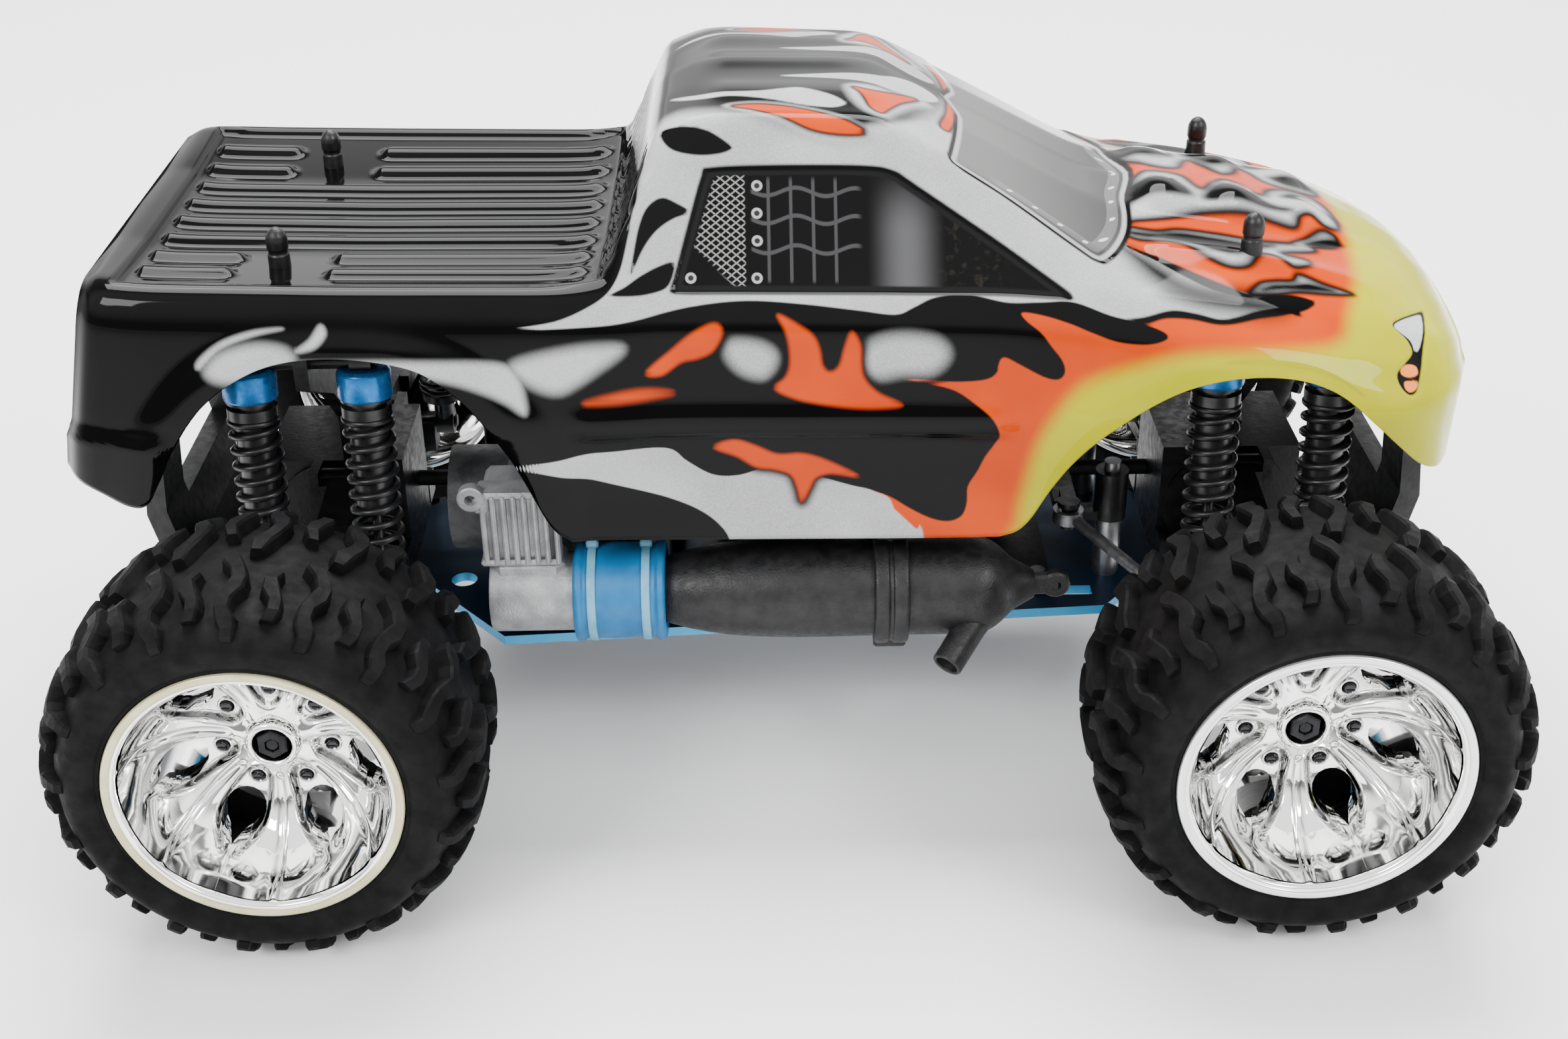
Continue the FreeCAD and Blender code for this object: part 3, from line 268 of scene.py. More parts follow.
# Stations from tail to nose: x, then the half section from the sill up: low and widest half-width,
# belt (y, z), foot of the cab side (y, z), roof or deck edge (y, z), and the height on the centre line.
STATIONS = np.array((
    (-197.0, 63.5, 66.5, 64.5, 156.5, 61.5, 162.0, 57.0, 163.2, 163.0),
    (-194.0, 70.0, 73.0, 69.0, 157.5, 65.5, 163.3, 61.0, 165.0, 163.6),
    (-188.0, 73.5, 75.5, 71.0, 157.0, 67.8, 163.4, 63.0, 165.0, 162.6),
    (-176.0, 74.5, 76.5, 71.8, 156.0, 68.8, 162.8, 64.0, 164.4, 161.0),
    (-120.0, 75.0, 77.0, 72.2, 154.0, 69.5, 161.0, 64.5, 162.8, 159.3),
    (-60.0, 74.0, 76.5, 72.2, 153.0, 69.2, 159.8, 64.5, 161.6, 158.6),
    (-47.0, 73.5, 76.0, 72.2, 153.0, 68.2, 160.3, 60.0, 163.4, 160.0),
    (-33.0, 73.5, 76.0, 72.5, 154.0, 67.2, 161.5, 42.0, 198.0, 200.2),
    (-20.0, 73.5, 76.0, 72.5, 154.0, 66.8, 161.5, 43.0, 201.3, 203.2),
    (28.0, 73.5, 76.0, 72.5, 153.0, 66.3, 160.5, 42.0, 199.3, 202.2),
    (60.0, 73.5, 76.0, 72.5, 152.0, 65.3, 160.0, 48.0, 181.0, 185.8),
    (92.0, 74.0, 76.5, 72.0, 148.0, 63.5, 156.5, 54.0, 161.8, 169.0),
    (104.0, 74.3, 76.8, 72.0, 146.3, 63.2, 154.6, 50.0, 160.5, 167.0),
    (130.0, 74.8, 77.2, 72.2, 143.0, 63.0, 151.5, 44.0, 158.0, 163.6),
    (165.0, 73.8, 76.4, 70.5, 137.0, 60.5, 145.0, 38.0, 151.0, 155.5),
    (182.0, 67.0, 69.5, 64.0, 132.5, 56.0, 139.0, 34.0, 144.0, 148.0),
    (191.0, 53.0, 56.0, 52.0, 128.0, 46.0, 133.0, 29.0, 137.0, 140.5),
    (196.0, 37.0, 40.0, 37.5, 124.5, 33.0, 128.5, 22.0, 131.0, 133.0),
))
WIDE_Z = 126.0
LOW_Z = 100.0
FLOOR_Z = 60.0

# Lower edge of the body side, (x, z), from tail to nose.
SILL = np.array((
    (-197.0, 112.0), (-190.0, 108.5), (-180.0, 103.5), (-175.0, 104.0), (-171.0, 111.0), (-166.0, 121.0),
    (-157.0, 132.5), (-146.0, 140.5), (-134.0, 144.8), (-118.0, 145.6), (-101.0, 142.8), (-91.0, 137.0),
    (-82.0, 127.5), (-75.0, 115.5), (-69.5, 102.5), (-65.5, 93.5), (-61.0, 89.3), (-54.0, 88.0),
    (0.0, 87.3), (52.0, 86.8), (62.0, 87.8), (68.0, 92.5), (74.0, 103.5), (80.0, 112.5), (88.0, 120.8),
    (98.0, 128.0), (110.0, 133.5), (124.0, 136.0), (138.0, 135.2), (150.0, 131.0), (160.0, 123.5),
    (168.0, 115.5), (176.0, 107.5), (182.0, 103.5), (188.0, 101.5), (197.0, 101.0),
))

TAIL_LEAN = 9.0
SHEET_EDGE = 1.4
LINING_DEPTH = 1.6
LINING_SKIP = 4
COLUMN_STEP = 0.95
# Rows of points down each half: over the top, down the cab's side, over the belt and down the side.
ROW_COUNTS = (50, 32, 17, 46)


def station_values(xs):
    """The nine section values at each x, softened along the body except at the cab's wall and the ends."""
    step = 0.5
    fine = np.arange(-215.0, 215.0, step)
    table = np.stack([np.interp(fine, STATIONS[:, 0], STATIONS[:, k]) for k in range(1, 10)], 1)

    def soften(sigma):
        kernel = bell_weights(sigma, step, 4)
        padded = np.pad(table, ((len(kernel) // 2,) * 2, (0, 0)), mode="edge")
        return np.stack([np.convolve(padded[:, k], kernel, "valid") for k in range(9)], 1)

    near_wall = swell(fine + 40, 14)[:, None]
    near_ends = smooth_step((np.abs(fine) - 178) / 14)[:, None]
    keep = np.maximum(near_wall, near_ends)
    table = keep * soften(1.6) + (1 - keep) * soften(5.0)
    return np.stack([np.interp(xs, fine, table[:, k]) for k in range(9)], 1)


def section_line(values):
    """Half section from the centre line out and down, as a polyline, and its distances."""
    low, wide, belt_y, belt_z, foot_y, foot_z, edge_y, edge_z, top = values
    crown = (0.45 * edge_y, top - 0.14 * (top - edge_z) - 0.3)
    points = np.array([(0.0, top), crown, (edge_y, edge_z), (foot_y, foot_z), (belt_y, belt_z),
                       (wide, WIDE_Z), (low, LOW_Z), (low - 1, FLOOR_Z)])
    lengths = np.hypot(*np.diff(points, axis=0).T)
    return points, np.concatenate([[0], np.cumsum(lengths)])


def softened_line(points, distance):
    """The half section with its corners rounded, sampled finely, and the matching distances."""
    step = 0.4
    margin = 16
    fine = np.arange(-margin, distance[-1] + margin, step)
    y = np.interp(np.abs(fine), distance, points[:, 0]) * np.where(fine < 0, -1, 1)
    z = np.interp(np.abs(fine), distance, points[:, 1])
    kernel = bell_weights(2.0, step, 3)
    return fine, np.convolve(y, kernel, "same"), np.convolve(z, kernel, "same")


def shell_grid():
    """Half of the shell: points, distance from the centre line, and height over the belt along the skin."""
    xs = np.concatenate([[-197.0, -196.6], np.arange(-196.0, 195.5, COLUMN_STEP), [195.7, 196.0]])
    smooth_sill = curve_through(SILL, closed=False)
    sills = np.interp(xs, smooth_sill[:, 0], smooth_sill[:, 1])
    points, across, above = [], [], []
    for x, sill_z, values in zip(xs, sills, station_values(xs)):
        line, distance = section_line(values)
        fine, y, z = softened_line(line, distance)
        side = distance[3] < fine
        sill = np.interp(-sill_z, -z[side], fine[side])
        stops = [0, distance[2], distance[3], distance[4], sill]
        rows = [np.linspace(a, b, n, endpoint=False) for a, b, n in zip(stops, stops[1:], ROW_COUNTS)]
        s = np.concatenate(rows + [[sill]])
        points.append(np.stack([np.full(len(s), x), np.interp(s, fine, y), np.interp(s, fine, z)], 1))
        across.append(s)
        above.append(distance[4] - s)
    return np.array(points), np.array(across), np.array(above)


def bar_shape(x, y, low_x, high_x, centre, half):
    """Distance inside a long bar with round ends, positive inside."""
    nearest = np.clip(x, low_x + half, high_x - half)
    return half - np.hypot(x - nearest, y - centre)


# Pressed outlines. Side ones are (x, height over the belt); the windscreen is (x, distance from the middle).
SIDE_WINDOW = curve_through(((-29.5, 9.5), (-28.6, 12), (-24.5, 27), (-20.8, 39.5), (-18.5, 41.4),
    (0, 42.2), (22, 42.3), (30, 41.2), (36, 37.6), (56, 24.5), (75.5, 11.6), (76.6, 10), (74.5, 8.8),
    (40, 8.2), (-10, 8), (-27.5, 8.1)), 6)
WINDSCREEN = curve_through(((50.5, -8), (50.0, 12), (48.6, 26), (46.3, 40), (45.6, 44.4), (48, 46.8),
    (62, 50.4), (80, 56.2), (85, 57.6), (88.6, 56.4), (93, 49), (97.6, 36), (99.3, 20), (99.8, -8)), 6)
HEADLAMP = curve_through(((167.8, 13), (171, 16.5), (178, 20.5), (180.5, 21.0), (179, 14), (176.5, 6),
    (174.5, -2), (173, -6.5), (170.5, -7.6), (168.0, -5.4), (167.2, -2.0), (169.8, 1.2), (172.6, 4.6),
    (171.6, 8.4)), 6)


def bed_relief(x, across):
    """The bed's floor below its rim, with eight ribs; the outer two on each side stop short of the posts."""
    floor = np.minimum(np.minimum(x + 186.5, -48.5 - x), 63.0 - across)
    relief = -2.2 * smooth_step((floor + 1.0) / 3.6)
    whole, parted = ((-182.5, -53.0),), ((-182.5, -149.5), (-126.0, -53.0))
    for centre, spans in ((7.0, whole), (21.0, whole), (35.0, parted), (49.0, parted)):
        for low_x, high_x in spans:
            inside = bar_shape(x, across, low_x, high_x, centre, half=3.7)
            relief += 2.1 * smooth_step((inside + 0.8) / 3.4)
    return relief


def cab_relief(x, across, above, z):
    """Flutes down the cab's rear wall, lengthwise ridges on the roof, and the windows pressed in."""
    wall = smooth_step((x + 47) / 3) * smooth_step((-33 - x) / 3)
    wall *= (across < 58) * smooth_step((190 - z) / 10)
    relief = 0.35 * wall * np.cos(across * 2 * math.pi / 7.0)
    on_roof = smooth_step((x + 24) / 10) * smooth_step((34 - x) / 20)
    relief += 0.8 * on_roof * (swell(across, 7.0) + swell(across - 25.0, 7.0))
    relief -= 0.8 * smooth_step(signed_distance(np.stack([x, above], 1), SIDE_WINDOW) / 1.4 + 0.4)
    relief -= 0.6 * smooth_step(signed_distance(np.stack([x, across], 1), WINDSCREEN) / 1.4 + 0.4)
    return relief


def bonnet_relief(x, across, above):
    """A raised centre with two rows of swellings, a crease beside them, and the headlamp hollows."""
    bonnet = smooth_step((x - 99) / 8) * smooth_step((172 - x) / 22)
    relief = bonnet * (2.4 * smooth_step((27 - across) / 7) + 1.2 * swell(across - 44, 4.0))
    for centre_x, height in ((110.0, 2.2), (131.0, 2.4), (152.0, 2.0)):
        relief += height * swell(x - centre_x, 6.5) * swell(across - 13, 7.5)
    lamp = signed_distance(np.stack([x, above], 1), HEADLAMP)
    return relief - 0.5 * smooth_step(lamp / 1.5 + 0.5)


def side_relief(x, above, z):
    """A crease along the doors, swollen wheel arches, and the step of the rear bumper."""
    doors = smooth_step((x + 62) / 10) * smooth_step((66 - x) / 10)
    relief = -1.6 * doors * smooth_step((-above - 31) / 4) * smooth_step((above + 70) / 24)
    relief += 0.9 * doors * swell(above + 28, 3.5)
    arch_radius = 52.0
    for centre_x, top_z in ((-121.0, 145.6), (126.0, 136.0)):
        ring = np.hypot((x - centre_x) / 1.06, z - (top_z - arch_radius)) - arch_radius
        near = smooth_step((ring + 6) / 4) * smooth_step((13 - ring) / 10) * (above < 2)
        relief += 1.3 * near * smooth_step((-above + 1) / 8)
    step_line = -33.0
    tail = smooth_step((-158 - x) / 14)
    relief += tail * (1.5 * smooth_step((step_line - above) / 2.4) + 0.8 * swell(above - step_line, 1.6))
    return relief


# ---------------------------------------------------------------- body shell: its paint

# Outlines of the paint scheme. "side" shapes are (x, height over the belt along the skin);
# "top" shapes are (x, distance from the centre line along the skin), the same on both sides.
# Each row holds the softness of its edge in millimetres and the outline.
ORANGE_SIDE = (
    (0.3, ((60, 5), (78, 5.5), (92, 3.5), (105, 8), (118, 7), (128, 10), (138, 12.5), (149, 18), (158, 26),
        (170, 44), (215, 70), (215, -120), (46, -120), (39, -66), (36.7, -63.3), (30, -56.7), (25, -52),
        (20, -38), (26, -14), (48, 1))),
)
ORANGE_TOP = (
    (0.3, ((98.5, -12), (97.5, 20), (95, 45), (104, 50.5), (115, 57), (124, 58.5), (134, 60), (146, 63),
        (170, 76), (215, 84), (215, -12))),
)
YELLOW_SIDE = (
    (3.2, ((167, 90), (163.5, 70), (163, 50), (160, 30), (155, 15), (150, 5), (130, 0), (110, -3), (95, -8),
        (82, -14), (75, -22), (70, -32), (67, -45), (65, -60), (64, -95), (215, -95), (215, 90))),
)
BLACK_SIDE = (
    (0.35, ((-215, 100), (-38, 100), (-36.2, 60), (-35.6, 50), (-38.2, 38), (-41, 25), (-43.4, 15),
        (-47, 8.7), (-53, 4.6), (-61, 1.4), (-72, -0.6), (-55, -0.2), (-40, 1), (-25, 4.3), (-10, 6),
        (5, 5.2), (20, 3.5), (30, 2.4), (35, 4.5), (41, 7.4), (50, 8.2), (60, 6.4), (69, 7.2), (78, 8.2),
        (88, 5.4), (96, 4.2), (102.5, 2.2), (103, 0.2), (98, -1.8), (90, -2), (83, -0.2), (77, 1.8),
        (70, 3.4), (64, 3.8), (65, 1.6), (69, -1.4), (72, -5), (75, -8.6), (75.8, -11.8), (74, -14),
        (70, -13.6), (64, -11), (59.4, -9), (57.9, -10.6), (57.4, -13.4), (54.6, -15.4), (48, -16.2),
        (40, -16), (32, -15.4), (38, -16.6), (46, -18.6), (52, -22.6), (57, -27), (58.9, -32.2),
        (57.6, -36), (55.4, -40), (53.4, -45), (51, -50), (50.9, -55), (49.6, -59), (46, -60.8), (41, -60),
        (35, -57), (29.6, -53.6), (25, -51.8), (18, -49.8), (8, -46.6), (-3, -43.6), (-12.5, -46.6),
        (-20, -46.4), (-27, -41.8), (-32.5, -37.4), (-48, -37.6), (-62, -38.6), (-74.5, -40.4), (-64, -43),
        (-46, -48.6), (-32, -53.6), (-24, -57.4), (-18.5, -62), (-15.5, -68), (-15, -95), (-215, -95))),
    (0.4, ((-31.5, 52.6), (-26, 53.2), (-19.6, 51.8), (-14.4, 48.6), (-12.8, 46.9), (-16, 45.4), (-22, 45),
        (-28.5, 46.5), (-31.6, 49.6))),
    (0.4, ((-32, 34), (-28, 32.4), (-24.5, 29.8), (-29, 28), (-33.4, 25), (-37, 20.4), (-40.4, 13.6),
        (-39.6, 20), (-38.2, 26.7), (-36, 31.6))),
    (0.4, ((-28.8, 16.4), (-33, 15.4), (-38, 13), (-42, 10.4), (-46, 8.3), (-40, 7.6), (-35, 8), (-31, 9.4),
        (-29.2, 12.6))),
    (0.5, ((90, 4.2), (97, 6), (105, 9), (112, 8.8), (118, 7.9), (123, 9.2), (128, 11.4), (134, 13.6),
        (140, 16.4), (146, 19), (143, 14.4), (136, 11.2), (129, 9.2), (122, 6.8), (117, 6.1), (110, 6.8),
        (103, 6.2), (97, 3.8))),
    (5.0, ((104, 15.5), (112, 12.8), (124, 13.6), (135, 17.5), (130, 20), (118, 18.6))),
)
SILVER_OVER = (
    (2.6, ((-73, -11), (-66, -8), (-52, -5.6), (-43, -6.4), (-50, -12), (-60, -18), (-68, -16))),
    (1.6, ((-130, -9.8), (-112, -9.2), (-92, -9.4), (-76, -10.2), (-71.6, -13.6), (-70.2, -18.4),
        (-70, -24), (-74.4, -21), (-80, -18.2), (-88, -15.4), (-100, -13), (-116, -11.4))),
    (2.2, ((-154.5, -12.4), (-150, -7.8), (-141, -5.2), (-133, -5.8), (-130.6, -9), (-136, -13),
        (-145, -15.4), (-152, -15.2))),
    (1.0, ((-156, -12), (-150, -6.4), (-141, -2.6), (-133, -0.6), (-141, -1.5), (-150, -4.8),
        (-156.4, -10))),
    # painted reflection: a small pale patch behind the rear lobe, standing for a lamp mirrored in the side
    (1.0, ((-130, -6.6), (-126, -3.4), (-123, 0.6), (-121.8, -2), (-125, -5.6))),
    (2.6, ((-14, -5.4), (-6, -6), (-2, -9.6), (-5, -15), (-11, -14), (-15, -9.6))),
    (3.0, ((20, -11), (24, -5.4), (32, -3.4), (41, -4.6), (44, -8.8), (40, -13.4), (32, -14), (25, -15))),
    (0.3, ((-74.5, -40.4), (-62, -38.6), (-48, -37.6), (-32.5, -37.4), (-27, -41.8), (-20, -46.4),
        (-12.5, -46.6), (-3, -43.6), (8, -46.6), (18, -49.8), (25, -51.8), (30.4, -57), (30.6, -80),
        (-15, -80), (-15.5, -68), (-18.5, -62), (-24, -57.4), (-32, -53.6), (-46, -48.6), (-64, -43))),
)
FLAMES = (
    (0.9, ((-37, -13.6), (-30.5, -8), (-24.4, -3), (-18.4, -0.2), (-16.2, -2.6), (-18.8, -7.8), (-23, -10),
        (-27.5, -11), (-33, -14.6))),
    (1.6, ((-54, -21.4), (-46, -19.2), (-38, -18.4), (-30, -19.6), (-37, -21), (-46, -21.6))),
    (0.9, ((-1.4, 2.2), (4, -0.6), (8, -3.6), (9.7, -7.6), (10.4, -12), (12.4, -13.8), (15, -12),
        (16.4, -7), (18.3, -2.4), (20.6, -6.2), (20.8, -11), (21.6, -15.4), (25.4, -19.6), (32, -23),
        (24, -24), (14, -23.4), (4, -21.6), (-2.4, -18.6), (0.4, -15.4), (1.7, -12), (1.6, -7),
        (0.6, -2.4))),
    (0.9, ((-19.4, -37.4), (-14, -34.8), (-8, -36.8), (-2, -39.6), (5, -39.4), (12, -41.8), (20.6, -47),
        (13, -46), (8.6, -47.4), (6.8, -51), (4.6, -55), (3.4, -50.6), (1.6, -46.4), (-3, -44.6),
        (-8, -43.8), (-13, -40.4))),
)
BLACK_TOP = (
    (4.5, ((-70, -12), (-70, 60), (-52, 66), (-34, 38), (-20, 39), (-9, 41), (0, 44), (8, 46.5), (15, 47.5),
        (24, 46), (31, 42), (36, 36), (40, 27), (44.6, 17), (47.6, 8), (47.8, -12))),
)
ROOF_SILVER = (
    (0.5, ((0.4, 13.4), (8, 11.8), (18, 10.6), (28, 9.6), (33, 6), (38, 3.6), (43, 4.4), (45.4, 8),
        (42.6, 13.4), (37, 17), (31, 18.2), (24, 16.8), (14, 15))),
    (0.6, ((-30, 23.6), (-25, 26), (-20, 27.4), (-12, 27.5), (-5, 26.8), (0.5, 25.2), (5.5, 24.2),
        (11, 26.6), (15.6, 29.8), (17.9, 33.4), (14.6, 35.8), (9, 35.2), (4, 33.8), (-3, 31.4), (-12, 30),
        (-20, 30.4), (-26, 28))),
    (2.0, ((18.6, 21), (24, 19.4), (32, 19.6), (39, 15), (42.6, 17.4), (37, 24.6), (31.8, 34), (28.8, 39),
        (23.6, 37), (19.4, 29))),
    (1.8, ((23, 45), (30, 41.6), (36, 35), (40, 30), (46.6, 28.4), (49, 32), (45, 40.4), (39, 46.4),
        (28, 48.6))),
    (1.4, ((-15, 36), (-7, 33.6), (2, 34.6), (12, 38.6), (19, 42.6), (25, 46.6), (18, 49), (8, 47.8),
        (-2, 43), (-10, 39.8))),
)
ROOF_ORANGE = (
    (0.5, ((20.4, 22.4), (24, 23.2), (28, 22.8), (33, 20.4), (38.6, 16.8), (36, 21.4), (33, 26), (30, 32),
        (27.6, 36.4), (25, 34.4), (23.6, 29.4), (22.4, 25.6))),
    (0.5, ((-12.6, 36.6), (-9, 35.4), (-3, 35.2), (5, 37.2), (14, 41.2), (19.4, 43.8), (22.6, 46.2),
        (16, 46.8), (8, 45.6), (0, 41.6), (-7.6, 38.2))),
    (0.5, ((49.9, -12), (50.2, 6), (49.6, 16), (47.4, 26), (46, 29), (44.6, 27), (46.8, 18), (48, 8),
        (48.3, -12))),
)
HOOD_SILVER = (
    (0.9, ((96, 33), (97, 20), (100, 12), (105, 4), (112, 1.5), (117.6, 3.2), (119.8, 8.4), (122, 11.6),
        (125.6, 6.4), (130, 2.2), (134, 4.2), (136.2, 8.6), (139.8, 8.8), (143, 3.4), (149, 0.4), (157, 1),
        (160.2, 4.4), (161.4, 11), (161, 19), (156, 21.2), (151.8, 18.4), (148.6, 20), (147, 23.8),
        (140, 23.4), (133, 22.7), (120, 24.4), (110, 28), (101, 31.4))),
    (0.9, ((95, 36), (105, 35.4), (112, 33), (122, 33), (133, 33.4), (142, 31.6), (149, 29.6), (151.4, 33),
        (141, 37.8), (147.8, 39), (147, 43), (142, 45.2), (137.8, 41.4), (133.4, 42.2), (129.4, 47.8),
        (124, 49.4), (118, 47.4), (110, 42.4), (97, 41.4))),
    (0.8, ((144.4, 31), (149.6, 26.6), (155, 22.6), (159.4, 23.6), (158.2, 28.2), (152, 30.6),
        (147.6, 32.4))),
    (0.8, ((127.4, 59.6), (131, 54), (136, 51.6), (141, 50), (143.4, 47.2), (150, 48.8), (158.6, 50.6),
        (151, 53), (142, 54.8), (134.4, 58))),
)
HOOD_BLACK = (
    (1.4, ((90, 21), (97, 13.6), (104, 10.4), (111, 9.4), (116.4, 12.6), (117.6, 17.4), (112, 18.8),
        (103, 20.6), (96, 24))),
    (1.4, ((121.4, 18.6), (123.8, 12.4), (128.6, 8), (135, 10.6), (141, 14.6), (146.8, 17), (140, 18.4),
        (130, 18.2))),
    (1.4, ((146, 7.6), (150, 3.6), (156.6, 4.4), (160.2, 8.4), (161.6, 14.4), (155, 10.8), (149.4, 9.4))),
    (1.1, ((95.6, 38), (104, 37.2), (112, 35), (121, 35.4), (131, 36), (139, 34.4), (133, 38.6),
        (126.8, 43.8), (120, 43.8), (112, 40.4), (98, 39.6))),
    (0.9, ((149, 29.8), (153, 26.4), (158, 24.6), (161, 26), (158, 28), (153.4, 29.6))),
    (0.9, ((131.4, 57), (134.4, 54), (141, 51.8), (146, 50), (153, 51), (146, 52.8), (139, 54.4))),
    (0.4, ((92, 44.6), (100, 49.6), (110, 55.6), (118, 59.6), (127, 60.8), (133, 58.6), (139, 56.8),
        (144.4, 57), (145.4, 59), (141, 62.4), (136, 63.4))),
    (3.2, ((93, 47), (102, 53), (112, 59), (122, 62), (136, 61.6), (130, 65.2), (115, 64), (103, 59))),
)
LAMP_SILVER = (
    (0.3, ((168.4, 12.8), (172, 16.4), (178, 19.6), (179.4, 19.4), (178, 13), (175.6, 6.6), (173.8, 5.2),
        (172.8, 8.6))),
)
LAMP_ORANGE = (
    (0.3, ((168.4, -0.6), (170.4, 1), (173.4, 0.8), (173.8, -1.6), (171.4, -2.6), (169, -2.2))),
    (0.3, ((169.6, -4), (172, -3.6), (173.6, -3.6), (173, -5.8), (171, -6.8), (169.6, -5.8))),
)
# A paint value is counted in edge softnesses and stops at this many, inside and out.
FULL_PAINT = 6.0


def paint_value(points, shapes):
    """How far each point is inside the nearest shape, counted in that shape's edge softness."""
    value = np.full(len(points), -FULL_PAINT)
    for soft, outline in shapes:
        distance = signed_distance(points, curve_through(outline, 5))
        value = np.maximum(value, np.clip(distance / soft, -FULL_PAINT, FULL_PAINT))
    return value


def paint_layers(x, across, above):
    """One named value per paint layer at each point of the skin."""
    side = np.stack([x, above], 1)
    top = np.stack([x, across], 1)
    roof_only = np.clip((above - 21) * 1.6, -2 * FULL_PAINT, 0)
    return {
        "paint_orange": np.maximum(paint_value(side, ORANGE_SIDE), paint_value(top, ORANGE_TOP)),
        "paint_yellow": paint_value(side, YELLOW_SIDE),
        "paint_black": np.maximum(paint_value(side, BLACK_SIDE), paint_value(top, BLACK_TOP) + roof_only),
        "paint_silver": np.maximum(paint_value(side, SILVER_OVER), paint_value(top, ROOF_SILVER) + roof_only),
        "paint_flame": np.maximum(paint_value(side, FLAMES), paint_value(top, ROOF_ORANGE) + roof_only),
        "hood_silver": paint_value(top, HOOD_SILVER),
        "hood_black": paint_value(top, HOOD_BLACK),
        "glass": np.maximum(signed_distance(side, SIDE_WINDOW), signed_distance(top, WINDSCREEN)),
        "lamp": signed_distance(side, HEADLAMP),
        "lamp_silver": paint_value(side, LAMP_SILVER),
        "lamp_orange": paint_value(side, LAMP_ORANGE),
        "along_mm": x, "across_mm": across, "above_mm": above,
    }


def half_shell():
    """Points of the left half with all pressed details, their outward directions, and the paint values."""
    plain, across, above = shell_grid()
    shape = across.shape
    normal = np.cross(np.gradient(plain, axis=0), np.gradient(plain, axis=1))
    normal /= np.maximum(np.linalg.norm(normal, axis=2), 1e-9)[..., None]
    x, z = plain[..., 0].ravel(), plain[..., 2].ravel()
    relief = (bed_relief(x, across.ravel()) + cab_relief(x, across.ravel(), above.ravel(), z)
              + bonnet_relief(x, across.ravel(), above.ravel()) + side_relief(x, above.ravel(), z))
    points = plain + normal * relief.reshape(shape)[..., None]
    points[:, 0, 1] = 0
    # the tail's upper edge leans forward
    lean = np.clip((points[..., 2] - 118) / 45, -0.2, 1) * smooth_step((-158 - points[..., 0]) / 39)
    points[..., 0] += TAIL_LEAN * lean
    layers = paint_layers(x, across.ravel(), above.ravel())
    layers = {name: value.reshape(shape) for name, value in layers.items()}
    # the lower edge turns in and shows the thickness of the sheet
    edge = points[:, -1:] - normal[:, -1:] * SHEET_EDGE
    fold = edge + np.array([0, -0.2, 5.0])
    points = np.concatenate([points, edge, fold], 1)
    normal = np.concatenate([normal] + [normal[:, -1:]] * 2, 1)
    layers = {name: np.concatenate([value] + [value[:, -1:]] * 2, 1) for name, value in layers.items()}
    return points, normal, layers


def both_halves(points):
    """Rows of points from the left sill over the top to the right sill."""
    return np.concatenate([points[:, ::-1], points[:, 1:] * np.array([1, -1, 1])], 1)


def build_shell(material, inner_material):
    """The painted skin, closed at both ends, and the black inside of it."""
    points, normal, layers = half_shell()
    columns, rows = points.shape[:2]
    skin = both_halves(points)
    layers = {name: np.concatenate([value[:, ::-1], value[:, 1:]], 1) for name, value in layers.items()}
    pieces = [(skin.reshape(-1, 3), {name: value.ravel() for name, value in layers.items()})]
    all_faces = [grid_faces(columns, skin.shape[1])]
    for column, sign in ((0, -1), (columns - 1, 1)):
        offset = sum(len(piece[0]) for piece in pieces)
        here = {name: value[column] for name, value in layers.items()}
        cap, cap_values, faces = end_cap(skin[column], here, sign, rows, offset)
        pieces.append((cap, cap_values))
        all_faces.append(faces)
    mesh = mesh_from("BodyShell", np.concatenate([piece[0] for piece in pieces]), np.concatenate(all_faces))
    for name in layers:
        add_values(mesh, name, np.concatenate([piece[1][name] for piece in pieces]))
    new_object("BodyShell", mesh, material, "body_shell", ("body_shell",))
    # a coarser black lining just inside, drawn in a little at both ends
    inside = (points - normal * LINING_DEPTH)[::LINING_SKIP, :-2][:, ::LINING_SKIP]
    inside[..., 1] *= 1 - 0.05 * smooth_step((np.abs(inside[..., 0]) - 182) / 8)
    inside[..., 0] = np.clip(inside[..., 0], -193.0, 192.0)
    lining = both_halves(inside)
    faces = grid_faces(*lining.shape[:2])[:, ::-1]
    mesh = mesh_from("BodyLining", lining.reshape(-1, 3), faces)
    new_object("BodyLining", mesh, inner_material, "body_shell")


